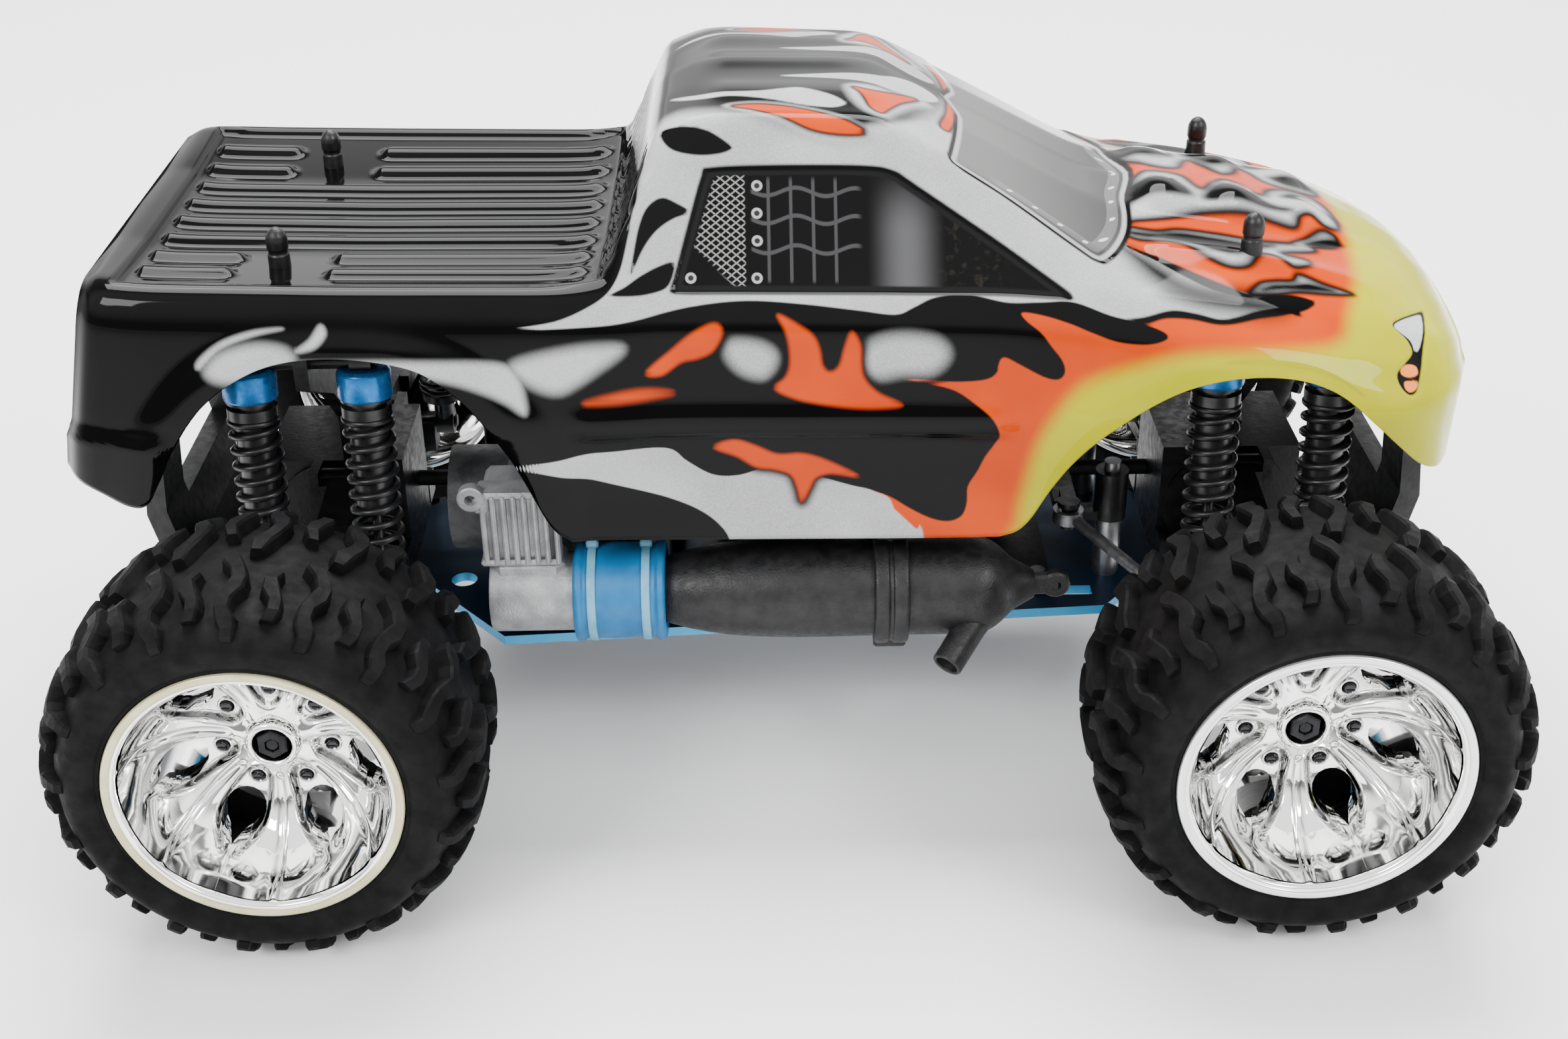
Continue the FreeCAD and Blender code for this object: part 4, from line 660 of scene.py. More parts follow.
def end_cap(ring_points, ring_values, sign, rows, offset):
    """Closes one end of the shell with rows of points from side to side, with a pressed panel."""
    count = 61
    share = np.linspace(0, 1, count)[None, :, None]
    left = ring_points[rows - 1::-1][:rows - 2]
    right = ring_points[rows - 1:][:rows - 2]
    cap = left[:, None] * (1 - share) + right[:, None] * share
    y, z = cap[..., 1], cap[..., 2]
    width = np.maximum(np.abs(left[:, 1]), 1)[:, None]
    bulge = (1 - (np.abs(y) / width) ** 4) * smooth_step((left[:, 2].max() - z) / 6)
    ring_row = rows - 1 + np.arange(rows - 2)
    values = {name: np.repeat(value[ring_row], count) for name, value in ring_values.items()}
    full = np.full(z.size, FULL_PAINT)
    if sign < 0:
        panel = smooth_step((50 - np.abs(y)) / 2.5)
        panel *= smooth_step((z - 121) / 2.5) * smooth_step((154 - z) / 2.5)
        bumper = smooth_step((119 - z) / 2) * smooth_step((width - np.abs(y)) / 8)
        shift = 1.6 * bulge - 1.6 * panel + 1.4 * bumper
        values["above_mm"] = z.ravel() - 156.5
        for name in ("paint_silver", "paint_flame", "paint_orange", "paint_yellow", "glass", "lamp"):
            values[name] = -full
        values["paint_black"] = full
    else:
        grille = smooth_step((27 - np.abs(y)) / 2) * smooth_step((z - 112) / 2) * smooth_step((127 - z) / 2)
        shift = 0.9 * bulge - 1.2 * grille * (0.75 + 0.25 * np.cos(z * 2 * math.pi / 3.75))
        values["above_mm"] = z.ravel() - 126.0
        values["glass"] = np.minimum(26 - np.abs(y), np.minimum(z - 113, 126 - z)).ravel()
        values["paint_yellow"] = full
        values["along_mm"] = np.full(z.size, 140.0)
    cap[..., 0] += sign * shift
    cap[0, :, 0] = left[0, 0]
    faces = grid_faces(rows - 2, count, offset=offset)
    return cap.reshape(-1, 3), values, faces if sign < 0 else faces[:, ::-1]


# ---------------------------------------------------------------- materials

class Nodes:
    """Makes and links the shader nodes of one tree."""

    def __init__(self, tree):
        self.tree = tree

    def node(self, kind, inputs=None, **settings):
        made = self.tree.nodes.new("ShaderNode" + kind)
        for key, value in settings.items():
            setattr(made, key, value)
        for key, value in (inputs or {}).items():
            self.feed(made.inputs[key], value)
        return made

    def feed(self, socket, value):
        if isinstance(value, bpy.types.NodeSocket):
            self.tree.links.new(value, socket)
        elif isinstance(value, tuple) and len(value) == 3 and socket.type == "RGBA":
            socket.default_value = (*value, 1.0)
        else:
            socket.default_value = value

    def math(self, operation, *values):
        return self.node("Math", dict(enumerate(values)), operation=operation).outputs[0]

    def times(self, first, *others):
        for other in others:
            first = self.math("MULTIPLY", first, other)
        return first

    def away(self, value, centre):
        """How far a value is from a centre."""
        return self.math("ABSOLUTE", self.math("SUBTRACT", value, centre))

    def away_squared(self, value, centre):
        return self.math("POWER", self.math("SUBTRACT", value, centre), 2.0)

    def ramp(self, value, low, high, to_low=0.0, to_high=1.0):
        inputs = {"Value": value, "From Min": low, "From Max": high, "To Min": to_low, "To Max": to_high}
        return self.node("MapRange", inputs, interpolation_type="SMOOTHSTEP").outputs[0]

    def span(self, value, start, full, still_full, stop):
        """1 over a stretch of values, fading to 0 on both sides of it."""
        return self.times(self.ramp(value, start, full), self.ramp(value, stop, still_full))


class Look(Nodes):
    """One procedural material around its Principled shader."""

    def __init__(self, name):
        self.material = bpy.data.materials.new(name)
        self.material.use_nodes = True
        super().__init__(self.material.node_tree)
        self.shader = self.tree.nodes["Principled BSDF"]
        self.place = self.node("TexCoord").outputs["Object"]

    def set(self, **values):
        for key, value in values.items():
            self.feed(self.shader.inputs[key.replace("_", " ")], value)

    def attribute(self, name):
        return self.node("Attribute", attribute_name=name).outputs["Fac"]

    def mix(self, factor, a, b):
        return self.node("Mix", {0: factor, 6: a, 7: b}, data_type="RGBA").outputs[2]

    def noise(self, scale, detail=3.0):
        inputs = {"Vector": self.place, "Scale": scale, "Detail": detail}
        return self.node("TexNoise", inputs).outputs["Fac"]

    def bump(self, height, strength, distance_mm):
        inputs = {"Height": height, "Strength": strength, "Distance": distance_mm * MM}
        self.set(Normal=self.node("Bump", inputs).outputs[0])

    def layer(self, base, name, colour, soft=1.0, shift=0.0):
        """Lays a colour over the base where a named paint value is above the shift."""
        return self.mix(self.ramp(self.attribute(name), shift - soft, shift + soft), base, colour)


def plain_look(name, dark, light, scale, rough, metallic=0.0, gloss=0.3, bump=0.0, bump_scale=900.0):
    """A surface that varies softly between two colours and two roughnesses."""
    look = Look(name)
    spots = look.ramp(look.noise(scale, 4.0), 0.3, 0.7)
    look.set(Base_Color=look.mix(spots, dark, light), Metallic=metallic, Specular_IOR_Level=gloss,
             Roughness=look.ramp(look.noise(scale * 2.3), 0.3, 0.7, *rough))
    if bump:
        look.bump(look.noise(bump_scale, 2.0), 0.5, bump)
    return look.material


def plating_look():
    """Bright chrome, with painted reflections: dark along the pressed lines where it would mirror the tyre
    and the arms, and painted shade in the hub's pockets.
    """
    look = Look("RimPlating")
    chrome = look.mix(look.noise(60.0), (0.93, 0.93, 0.92), (0.98, 0.98, 0.97))
    # painted reflection and painted shade: the shade value blends the chrome to near black
    look.set(Base_Color=look.mix(look.attribute("shade"), chrome, (0.035, 0.035, 0.037)), Metallic=1.0,
             Roughness=look.ramp(look.noise(140.0), 0.3, 0.7, 0.03, 0.07))
    return look.material


def plate_look():
    """Anodised sheet: its flat faces are painted nearly black as painted shade under the truck, its cut edges
    bright blue.
    """
    look = Look("BluePlate")
    parts = look.node("SeparateXYZ", {0: look.node("NewGeometry").outputs["Normal"]})
    # painted shade: faces lying flat get the near-black navy of the shade under the shell, upright cut edges
    # the bright blue
    face = look.ramp(look.math("ABSOLUTE", parts.outputs["Z"]), 0.3, 0.9)
    edge = look.mix(look.noise(70.0), (0.02, 0.22, 0.46), (0.05, 0.36, 0.62))
    dark = look.mix(look.noise(50.0), (0.002, 0.012, 0.035), (0.004, 0.03, 0.075))
    look.set(Base_Color=look.mix(face, edge, dark), Metallic=0.5,
             Roughness=look.ramp(look.noise(160.0), 0, 1, 0.3, 0.5))
    return look.material


def side_glass(look, x, across, above, black):
    """Glossy black with a printed net, wavy bars and uprights, rivets, a soft sheen and worn spots."""
    side = look.ramp(across, 40, 44)
    slope = look.times(above, 1.25)
    strands = [look.math("PINGPONG", look.math(way, x, slope), 1.35) for way in ("ADD", "SUBTRACT")]
    net = look.math("MINIMUM", *strands)
    net_edge = look.ramp(look.math("MULTIPLY_ADD", above, -0.30, x), -30, -29)
    net_edge = look.math("MINIMUM", net_edge, look.ramp(x, -9.4, -10))
    net_edge = look.math("MINIMUM", net_edge, look.ramp(look.math("ADD", x, above), -3.5, -2))
    net_mask = look.times(look.ramp(net, 0.42, 0.22), net_edge)
    glass = look.mix(look.times(net_mask, 0.8), black, (0.22, 0.22, 0.215))
    wave = look.times(look.math("SINE", look.times(x, 2 * math.pi / 16)), 1.1)
    level = look.math("SUBTRACT", above, wave)
    bars = 0.0
    for height in (35.5, 28.0, 20.0):
        bars = look.math("MAXIMUM", bars, look.ramp(look.away(level, height), 0.75, 0.35))
    bars = look.times(bars, look.span(x, -8.4, -7.6, 20, 22))
    uprights = look.ramp(look.math("PINGPONG", look.math("ADD", x, 3.4), 3.0), 0.6, 0.25)
    uprights = look.times(uprights, look.span(x, -5, -4.4, 15.6, 16.4), look.span(above, 10.5, 12, 38, 40))
    glass = look.mix(look.times(look.math("MAXIMUM", bars, uprights), 0.55), glass, (0.07, 0.07, 0.073))
    for rivet_x, rivet_above in ((-6.4, 37.0), (-6.5, 29.6), (-6.5, 22.2), (-6.7, 12.2), (-24.4, 12.2)):
        far = look.math("ADD", look.away_squared(x, rivet_x), look.away_squared(above, rivet_above))
        glass = look.mix(look.ramp(far, 2.6, 1.8), glass, (0.30, 0.30, 0.30))
        glass = look.mix(look.ramp(far, 0.7, 0.4), glass, (0.02, 0.02, 0.02))
    sheen = look.times(look.ramp(look.away(x, 33.5), 11, 0), look.ramp(above, 44, 24), side, 0.75)
    glass = look.mix(sheen, glass, (0.09, 0.09, 0.093))
    worn = look.times(look.ramp(look.noise(420.0, 2.0), 0.52, 0.72), look.span(x, 38, 46, 54, 64), side, 0.5)
    return look.mix(worn, glass, (0.022, 0.017, 0.012))


def screen_glass(look, x, across, inset):
    """Grey with a painted reflection, lighter at the top and darker towards the bonnet, with a pale strip of
    studs just inside its edge.
    """
    strip_inset = 4.9
    # painted reflection: lighter near the roof, darker towards the bonnet
    screen = look.mix(look.ramp(x, 52, 98), (0.105, 0.107, 0.104), (0.040, 0.041, 0.040))
    strip = look.times(look.ramp(look.away(inset, strip_inset), 1.7, 1.5), look.ramp(x, 56, 60))
    screen = look.mix(look.times(strip, 0.5), screen, (0.16, 0.162, 0.16))
    along = look.math("PINGPONG", look.math("ADD", x, across), 4.5)
    stud = look.math("ADD", look.away_squared(along, 0.0), look.away_squared(inset, strip_inset))
    return look.mix(look.times(look.ramp(stud, 0.9, 0.4), strip), screen, (0.5, 0.5, 0.5))


def body_paint():
    """Silver, black, orange and yellow paint in layers, then the windows and the headlamps."""
    look = Look("BodyPaint")
    x, across, above = (look.attribute(name) for name in ("along_mm", "across_mm", "above_mm"))
    cloud = look.ramp(look.noise(26.0), 0.32, 0.68)
    fleck = look.ramp(look.noise(2600.0, 1.0), 0.35, 0.7)
    silver = look.mix(cloud, (0.27, 0.274, 0.274), (0.36, 0.365, 0.365))
    silver = look.mix(look.times(fleck, 0.22), silver, (0.62, 0.63, 0.63))
    black = look.mix(look.noise(40.0), (0.0008, 0.0008, 0.0009), (0.002, 0.002, 0.0022))
    orange = look.mix(cloud, (0.42, 0.034, 0.0004), (0.50, 0.048, 0.0008))
    yellow = look.mix(cloud, (0.33, 0.318, 0.0003), (0.38, 0.365, 0.0006))
    warm = look.layer(orange, "paint_yellow", yellow, 1.1)
    colour = look.layer(silver, "paint_orange", warm)
    # bonnet: silver and black swirls on the orange, with airbrushed edges
    colour = look.layer(colour, "hood_silver", black, 1.4, -1.0)
    colour = look.layer(colour, "hood_silver", silver, 2.2, 2.0)
    colour = look.layer(colour, "hood_black", black, 1.6, -0.6)
    # the black of the roof fades to grey towards the windscreen
    roof_fade = look.times(look.ramp(above, 60, 72), look.ramp(x, -30, 34))
    colour = look.layer(colour, "paint_black", look.mix(roof_fade, black, (0.022, 0.022, 0.023)))
    colour = look.layer(colour, "paint_silver", silver)
    # flames: orange with a black rim
    colour = look.layer(colour, "paint_flame", black, 1.8, -2.0)
    colour = look.layer(colour, "paint_flame", orange)
    # windows: a black edge, a thin trim line and the pane
    in_front = look.ramp(look.math("MULTIPLY_ADD", x, -0.36, across), 34, 32)
    glass = look.mix(in_front, side_glass(look, x, across, above, black),
                     screen_glass(look, x, across, look.attribute("glass")))
    trim = look.mix(in_front, (0.006, 0.006, 0.006), (0.30, 0.305, 0.30))
    colour = look.layer(colour, "glass", black, 0.5, -0.5)
    colour = look.layer(colour, "glass", trim, 0.3, 0.9)
    colour = look.layer(colour, "glass", glass, 0.4, 2.2)
    colour = look.layer(colour, "lamp", black, 0.35)
    colour = look.layer(colour, "lamp_silver", (0.42, 0.43, 0.44))
    colour = look.layer(colour, "lamp_orange", (0.80, 0.22, 0.04))
    look.set(Base_Color=colour, Roughness=look.ramp(cloud, 0, 1, 0.34, 0.42), Coat_Weight=1.0,
             Coat_Roughness=0.05, Coat_IOR=1.2, Specular_IOR_Level=0.0)
    look.bump(look.noise(34.0, 1.0), 0.06, 0.4)
    return look.material


# ---------------------------------------------------------------- wheels

def add_at_wheel(parts, points, faces, x, sign, shade=0.0):
    """Adds points made about the axle, with Y outward, at the wheel of this x and side."""
    points = np.array(points, float)
    points[:, 1] *= sign
    parts.add(points + np.array([x, 0, AXLE_HEIGHT]), faces, shade)


def add_wheel_turned(parts, profile, steps, x, sign, closed=True):
    """A ring of (radius, reach along the axle) turned about the axle; closed joins the profile's ends."""
    profile = np.asarray(profile, float)
    if closed:
        profile = np.concatenate([profile, profile[:1]])
    points = turned_points(profile, steps)[:, [1, 2, 0]]
    faces = grid_faces(len(profile), steps, closed=True)
    add_at_wheel(parts, points, faces[:, ::-1] if sign > 0 else faces, x, sign)


SPOKES = 7
# Half width of the window between two spokes at each radius.
WINDOW_WIDTH = ((19.3, 0.0), (19.6, 1.6), (20.4, 3.1), (22.0, 4.7), (24.0, 5.6), (26.0, 5.7), (28.0, 4.9),
    (29.4, 3.6), (30.2, 2.1), (30.5, 0.0))
# Reach of the spokes' outer face along the axle at each radius: a bowl that rises into the barrel.
SPOKE_FACE = ((6.0, 124.2), (8.0, 124.4), (10.0, 124.2), (13.0, 124.2), (17.0, 124.8), (21.0, 126.2),
    (25.0, 128.8), (28.0, 131.8), (30.5, 135.4), (32.6, 140.0), (34.0, 145.4), (34.4, 148.4))
# Half width of a spoke, and depth of the valley beside it, at each radius.
SPOKE_HALF = ((6.0, 3.6), (9.5, 3.2), (12.0, 2.5), (15.0, 2.5), (19.0, 3.0), (23.0, 3.7), (26.0, 4.8),
    (28.5, 7.0), (30.5, 10.0), (33.0, 15.5), (35.0, 20.0))
VALLEY_DEPTH = ((6.0, 0.0), (9.5, 0.0), (12.0, 2.0), (15.0, 3.0), (26.0, 3.2), (29.5, 1.8), (32.0, 0.0),
    (35.0, 0.0))


def smooth_table(table, radii):
    """A table's values at each radius, as a column."""
    return np.interp(radii, *curve_through(table, 6, closed=False).T)[:, None]


def spoke_face(parts, x, sign):
    """Trumpet spokes with a groove down the middle, and sunk valleys with windows between them."""
    radii = np.unique(np.concatenate([np.linspace(6.0, 34.4, 58), [r for r, _ in WINDOW_WIDTH]]))
    radius = radii[:, None]
    gap = np.interp(radii, *np.array(WINDOW_WIDTH).T)[:, None]
    half_turn = math.pi / SPOKES
    across = np.sin(np.linspace(-1, 1, 45) * math.pi / 2)
    across = np.concatenate([[-1.0], across, [1.0]])
    angle = across * (half_turn - gap / radius)
    off_centre = radius * np.abs(angle)
    half = smooth_table(SPOKE_HALF, radii)
    depth = smooth_table(VALLEY_DEPTH, radii)
    reach = smooth_table(SPOKE_FACE, radii) + np.exp(-1.6 * (off_centre / half) ** 2)
    reach -= depth * smooth_step((off_centre - half + 0.4) / 2.0)
    reach -= swell(off_centre, 0.9) * smooth_step((radius - 10) / 4)
    reach[:, [0, -1]] -= 0.05 + 7.0 * smooth_step(gap / 1.5)
    # painted reflection: dark lines beside the valleys and down the spokes' groove, standing for the tyre and
    # the arms mirrored in the chrome
    shade = 0.9 * swell(off_centre - half - 0.7, 0.62) * smooth_step(depth / 2.5)
    shade += 0.7 * swell(off_centre - 1.1, 0.33) * smooth_step((radius - 11) / 4)
    shade = np.clip(shade, 0, 1).ravel()
    faces = grid_faces(*reach.shape)
    for spoke in range(SPOKES):
        turn = angle + 2 * half_turn * (spoke + 0.5)
        points = np.stack([radius * np.sin(turn), reach, radius * np.cos(turn)], -1).reshape(-1, 3)
        add_at_wheel(parts, points, faces if sign > 0 else faces[:, ::-1], x, sign, shade)


def hub_pockets(parts, x, sign):
    """Small pockets between the spokes beside the hub, dark with painted shade."""
    steps = 14
    profile = ((0, 0.3), (1.9, 0.3), (2.0, 0.7), (2.4, 0.8), (2.8, 0.3), (2.8, -1.2))
    faces = grid_faces(len(profile), steps, closed=True)
    # painted shade: each pocket's floor and walls are darkened, the crest of its rim is left bright
    shade = np.repeat([1.0, 1.0, 0.8, 0.0, 0.5, 1.0], steps)
    for index in range(SPOKES):
        angle = 2 * math.pi * index / SPOKES
        centre = np.array([15.0 * math.sin(angle), 121.6, 15.0 * math.cos(angle)])
        points = turned_points(profile, steps)[:, [0, 2, 1]] + centre
        add_at_wheel(parts, points, faces if sign > 0 else faces[:, ::-1], x, sign, shade)


# Profiles of the wheel's turned pieces: (radius, reach along the axle).
BARREL = ((36.4, 150.6), (35.4, 150.5), (34.7, 149.0), (34.4, 146.0), (34.0, 128.0), (33.6, 104.0),
          (34.2, 95.4), (36.6, 94.2), (36.6, 95.8), (34.9, 97.4), (34.9, 145.0), (36.4, 148.8))
HUB = ((4.4, 117.5), (4.6, 125.0), (5.2, 127.6), (6.0, 128.2), (7.0, 127.6), (7.6, 126.0), (7.9, 123.0),
       (7.9, 117.0), (4.4, 117.0))
RIM_LIP = ((35.7, 149.6), (36.3, 150.9), (38.3, 151.2), (38.7, 150.4), (38.0, 148.6), (36.0, 148.0))
NUT = ((0, 125.4), (2.1, 125.4), (2.1, 127.6), (4.0, 127.6), (4.5, 127.0), (4.5, 118.0), (0, 118.0))
STUD = ((0, 127.2), (1.5, 127.2), (1.9, 126.8), (1.9, 118))
WASHER = ((0, 120.6), (8.2, 120.6), (8.2, 116), (0, 116))
HEXAGON = ((0, 108.6), (7.6, 108.6), (7.9, 109.2), (7.9, 114.2), (0, 115.0))
AXLE_PIN = ((0, 88), (4.0, 88), (4.0, 118), (0, 118))


def build_rim(name, x, sign, looks):
    """The plated rim with its lip and pockets, the wheel nut and the hexagon behind it."""
    body = "%s_wheel" % name
    rim, lip, pockets, nut, hexagon = (Parts() for _ in range(5))
    add_wheel_turned(rim, rounded(BARREL, 0.4, 2), 96, x, sign)
    spoke_face(rim, x, sign)
    add_wheel_turned(rim, rounded(HUB, 0.8), 56, x, sign)
    rim.piece("%s_rim_plating" % name, looks["plating"], body, "rim_plating", ("%s_rim" % name,))
    add_wheel_turned(lip, rounded(RIM_LIP, 0.45), 120, x, sign)
    lip.piece("%s_rim_lip" % name, looks["lip_" + name.split("_")[0]], body, "rim_plating")
    hub_pockets(pockets, x, sign)
    pockets.piece("%s_rim_rings" % name, looks["plating"], body, "rim_plating")
    for parts, profile, steps in ((nut, rounded(NUT, 0.3, 2), 6), (nut, STUD, 20), (nut, WASHER, 24),
                                  (hexagon, HEXAGON, 6), (hexagon, AXLE_PIN, 24)):
        add_wheel_turned(parts, profile, steps, x, sign, closed=False)
    nut.piece("%s_wheel_nut" % name, looks["dark_steel"], body, "steel_links", smooth=False)
    hexagon.piece("%s_wheel_hex" % name, looks["dark_steel"], body, "steel_links", smooth=False)


CARCASS = ((36.8, 98.0), (37.6, 95.6), (42.0, 93.4), (46.0, 92.5), (49.4, 94.2), (51.4, 98.4), (53.0, 105.0),
           (53.9, 113.0), (53.9, 131.0), (53.0, 139.0), (51.4, 145.6), (49.2, 149.8), (46.6, 151.8),
           (44.0, 152.0), (41.6, 151.5), (40.3, 150.9), (39.7, 150.2), (39.1, 150.6), (38.7, 150.0),
           (38.6, 147.4), (36.8, 145.4))
TREAD_MIDDLE = 122.0
LUG_PITCHES = 17
LUG_DEPTH = 6.0
# Top of the lugs from the middle of the tread over the shoulder: (reach from the middle, radius).
LUG_TOP = ((0.9, 58.0), (5.0, 58.0), (9.0, 57.9), (13.0, 57.7), (17.0, 57.2), (20.5, 56.4), (23.4, 55.3),
           (26.0, 53.8), (28.2, 51.9), (29.4, 50.0), (29.9, 48.4))
# How far each row of a long lug swings sideways round the tyre.
LUG_SWAY = (-3.0, -2.2, 0.2, 1.5, 0.6, -1.3, -1.5, -0.2, 0.7, 0.4, 0.0)
# One row of points over a lug: (share of its half width, height over its top).
LUG_ROW = ((-1.5, -LUG_DEPTH), (-1.05, -0.8), (-0.8, 0.0), (0.8, 0.0), (1.05, -0.8), (1.5, -LUG_DEPTH))


def add_lug(parts, angle, side, short, x, sign):
    """One wavy lug from near the middle of the tread over the shoulder and down the sidewall."""
    first, last = (2, 7) if short else (0, len(LUG_TOP) - 1)
    points = []
    for index in range(first, last + 1):
        slope = np.subtract(LUG_TOP[min(index + 1, len(LUG_TOP) - 1)], LUG_TOP[max(index - 1, 0)])
        outward = np.array([-slope[1], slope[0]]) / np.linalg.norm(slope)
        end = index in (first, last)
        half = (1.9 if short else 2.1) * (0.8 if end else 1.0) * (1.2 if index % 3 == 1 else 0.9)
        sway = LUG_SWAY[index] * (-0.9 if short else 0.9)
        for across, height in LUG_ROW:
            lowered = height - (0.9 if end and height > -1 else 0.0)
            reach, radius = LUG_TOP[index] + outward * lowered
            turn = angle + (sway + across * half) / 56.0
            points.append((radius * math.sin(turn), TREAD_MIDDLE + side * reach, radius * math.cos(turn)))
    rows, width = last - first + 1, len(LUG_ROW)
    faces = grid_faces(rows, width).tolist()
    faces += [list(range(width))[::-1], [(rows - 1) * width + k for k in range(width)]]
    if side * sign < 0:
        faces = [face[::-1] for face in faces]
    add_at_wheel(parts, points, faces, x, sign)


def build_tyre(name, x, sign, rubber):
    """A smooth carcass with long and short lugs on both sides of the tread."""
    parts = Parts()
    steps = 128
    carcass = rounded(CARCASS, 1.6)
    add_wheel_turned(parts, carcass, steps, x, sign)
    pitch = 2 * math.pi / LUG_PITCHES
    for index in range(LUG_PITCHES):
        for side, shift in ((1, 0.0), (-1, 0.25)):
            start = pitch * (index + shift)
            add_lug(parts, start, side, False, x, sign)
            add_lug(parts, start + pitch / 2, side, True, x, sign)
    tyre = parts.piece("%s_tyre_rubber" % name, rubber, "%s_wheel" % name, "tyre_rubber", ("%s_tyre" % name,))
    faces = tyre.data.polygons
    faces.foreach_set("use_smooth", np.arange(len(faces)) < len(carcass) * steps)


# ---------------------------------------------------------------- shock absorbers

SHOCK_LEAN = math.radians(7.007)
SHOCK_TOP_Y = 55.0
SHOCK_TOP_Z = 136.0
SHOCK_PITCH = 16.0
COIL_TURNS = 11.5
COIL_RADIUS = 6.5
WIRE_RADIUS = 1.0
# Where the coils start and end, and where the spring sits, down from the upper eye.
COIL_FIRST = 16.4
COIL_LAST = 64.6
SHOCK_CAP = ((0, 1.4), (6.6, 1.4), (7.6, 2.6), (7.6, 9.8), (7.1, 10.4), (5.4, 10.4))


def build_shocks(name, tower_x, sign, looks):
    """The wound springs of one corner's two shock absorbers, and the blue caps over them."""
    body = "%s_shock_cylinders" % name
    top = np.array([tower_x, sign * SHOCK_TOP_Y, SHOCK_TOP_Z])
    down = np.array([0.0, sign * math.sin(SHOCK_LEAN), -math.cos(SHOCK_LEAN)])
    side = np.array([1.0, 0, 0])
    other = np.cross(down, side)
    share = np.linspace(0, 1, 24 * 11 + 1)
    angles = 2 * math.pi * COIL_TURNS * share
    # the first and last turns lie flat
    drop = COIL_FIRST + (COIL_LAST - COIL_FIRST) * np.clip((share - 0.05) / 0.90, 0, 1)
    turning = np.outer(np.cos(angles), side) + np.outer(np.sin(angles), other)
    coil = np.outer(drop, down) + COIL_RADIUS * turning
    coils, caps = Parts(), Parts()
    for shift in (-SHOCK_PITCH, SHOCK_PITCH):
        start = top + np.array([shift, 0, 0])
        add_wire(coils, start + coil, WIRE_RADIUS, 8)
        add_turned(caps, rounded(SHOCK_CAP, 0.4, 2), tuple(down), start, 28)
    springs = coils.piece("%s_coils" % name, looks["spring"], body, "spring_wire", ("shock_springs",))
    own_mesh(springs)
    caps.piece("%s_shock_caps" % name, looks["blue_cap"], body, "blue_anodised_head")


# ---------------------------------------------------------------- exhaust

# The pipe's centre line runs lengthwise through this point.
PIPE = np.array([0.0, -58.0, 62.0])
# Profiles of the exhaust's turned pieces: (radius, place along the axis).
HEADER_TUBE = ((0, -86), (11.4, -86), (11.6, -85), (11.6, -60), (11.0, -59.6), (9.0, -59.6), (9.0, -70),
               (0, -70))
HEADER_EAR = ((1.7, -2.0), (3.4, -2.0), (3.9, -1.5), (3.9, 1.5), (3.4, 2.0), (1.7, 2.0), (1.7, -2.0))
SLEEVE = ((11.4, -61.5), (13.6, -61.8), (15.0, -61.0), (15.2, -59.6), (14.0, -58.4), (13.9, -56.6),
          (14.2, -50.0), (14.1, -44.0), (13.9, -39.4), (14.0, -38.0), (15.1, -37.0), (15.0, -35.6),
          (13.6, -34.9), (10.0, -35.2))
TIE = ((13.5, -1.3), (14.8, -1.2), (14.8, 1.2), (13.5, 1.3))
CHAMBER = ((9.0, -37.4), (10.4, -33.0), (12.2, -26.0), (13.8, -16.0), (14.6, -4.0), (14.8, 10.0),
           (14.7, 24.6))
JOINT = ((14.7, 25.4), (16.6, 25.7), (16.9, 26.4), (16.9, 29.6), (16.2, 30.0), (16.2, 30.9), (16.9, 31.3),
         (16.9, 34.8), (16.5, 35.5), (14.6, 35.8))
BACK = ((14.6, 36.4), (14.6, 50.0), (14.2, 57.6), (11.8, 62.4), (7.8, 66.8), (5.0, 71.6))
MUFFLER_RING = ((1.5, -1.9), (3.6, -1.9), (4.2, -1.2), (4.2, 1.2), (3.6, 1.9), (1.5, 1.9), (1.5, -1.9))
OUTLET = ((0, 0), (6.4, 0), (5.6, 6.0), (4.9, 9.0), (4.6, 12.0), (4.6, 26.4), (4.2, 26.8), (3.4, 26.6),
          (3.3, 16.0), (0, 15.6))
OUTLET_FOOT = (60.5, -60.0, 59.5)
OUTLET_WAY = (-13.0, -17.0, -11.0)


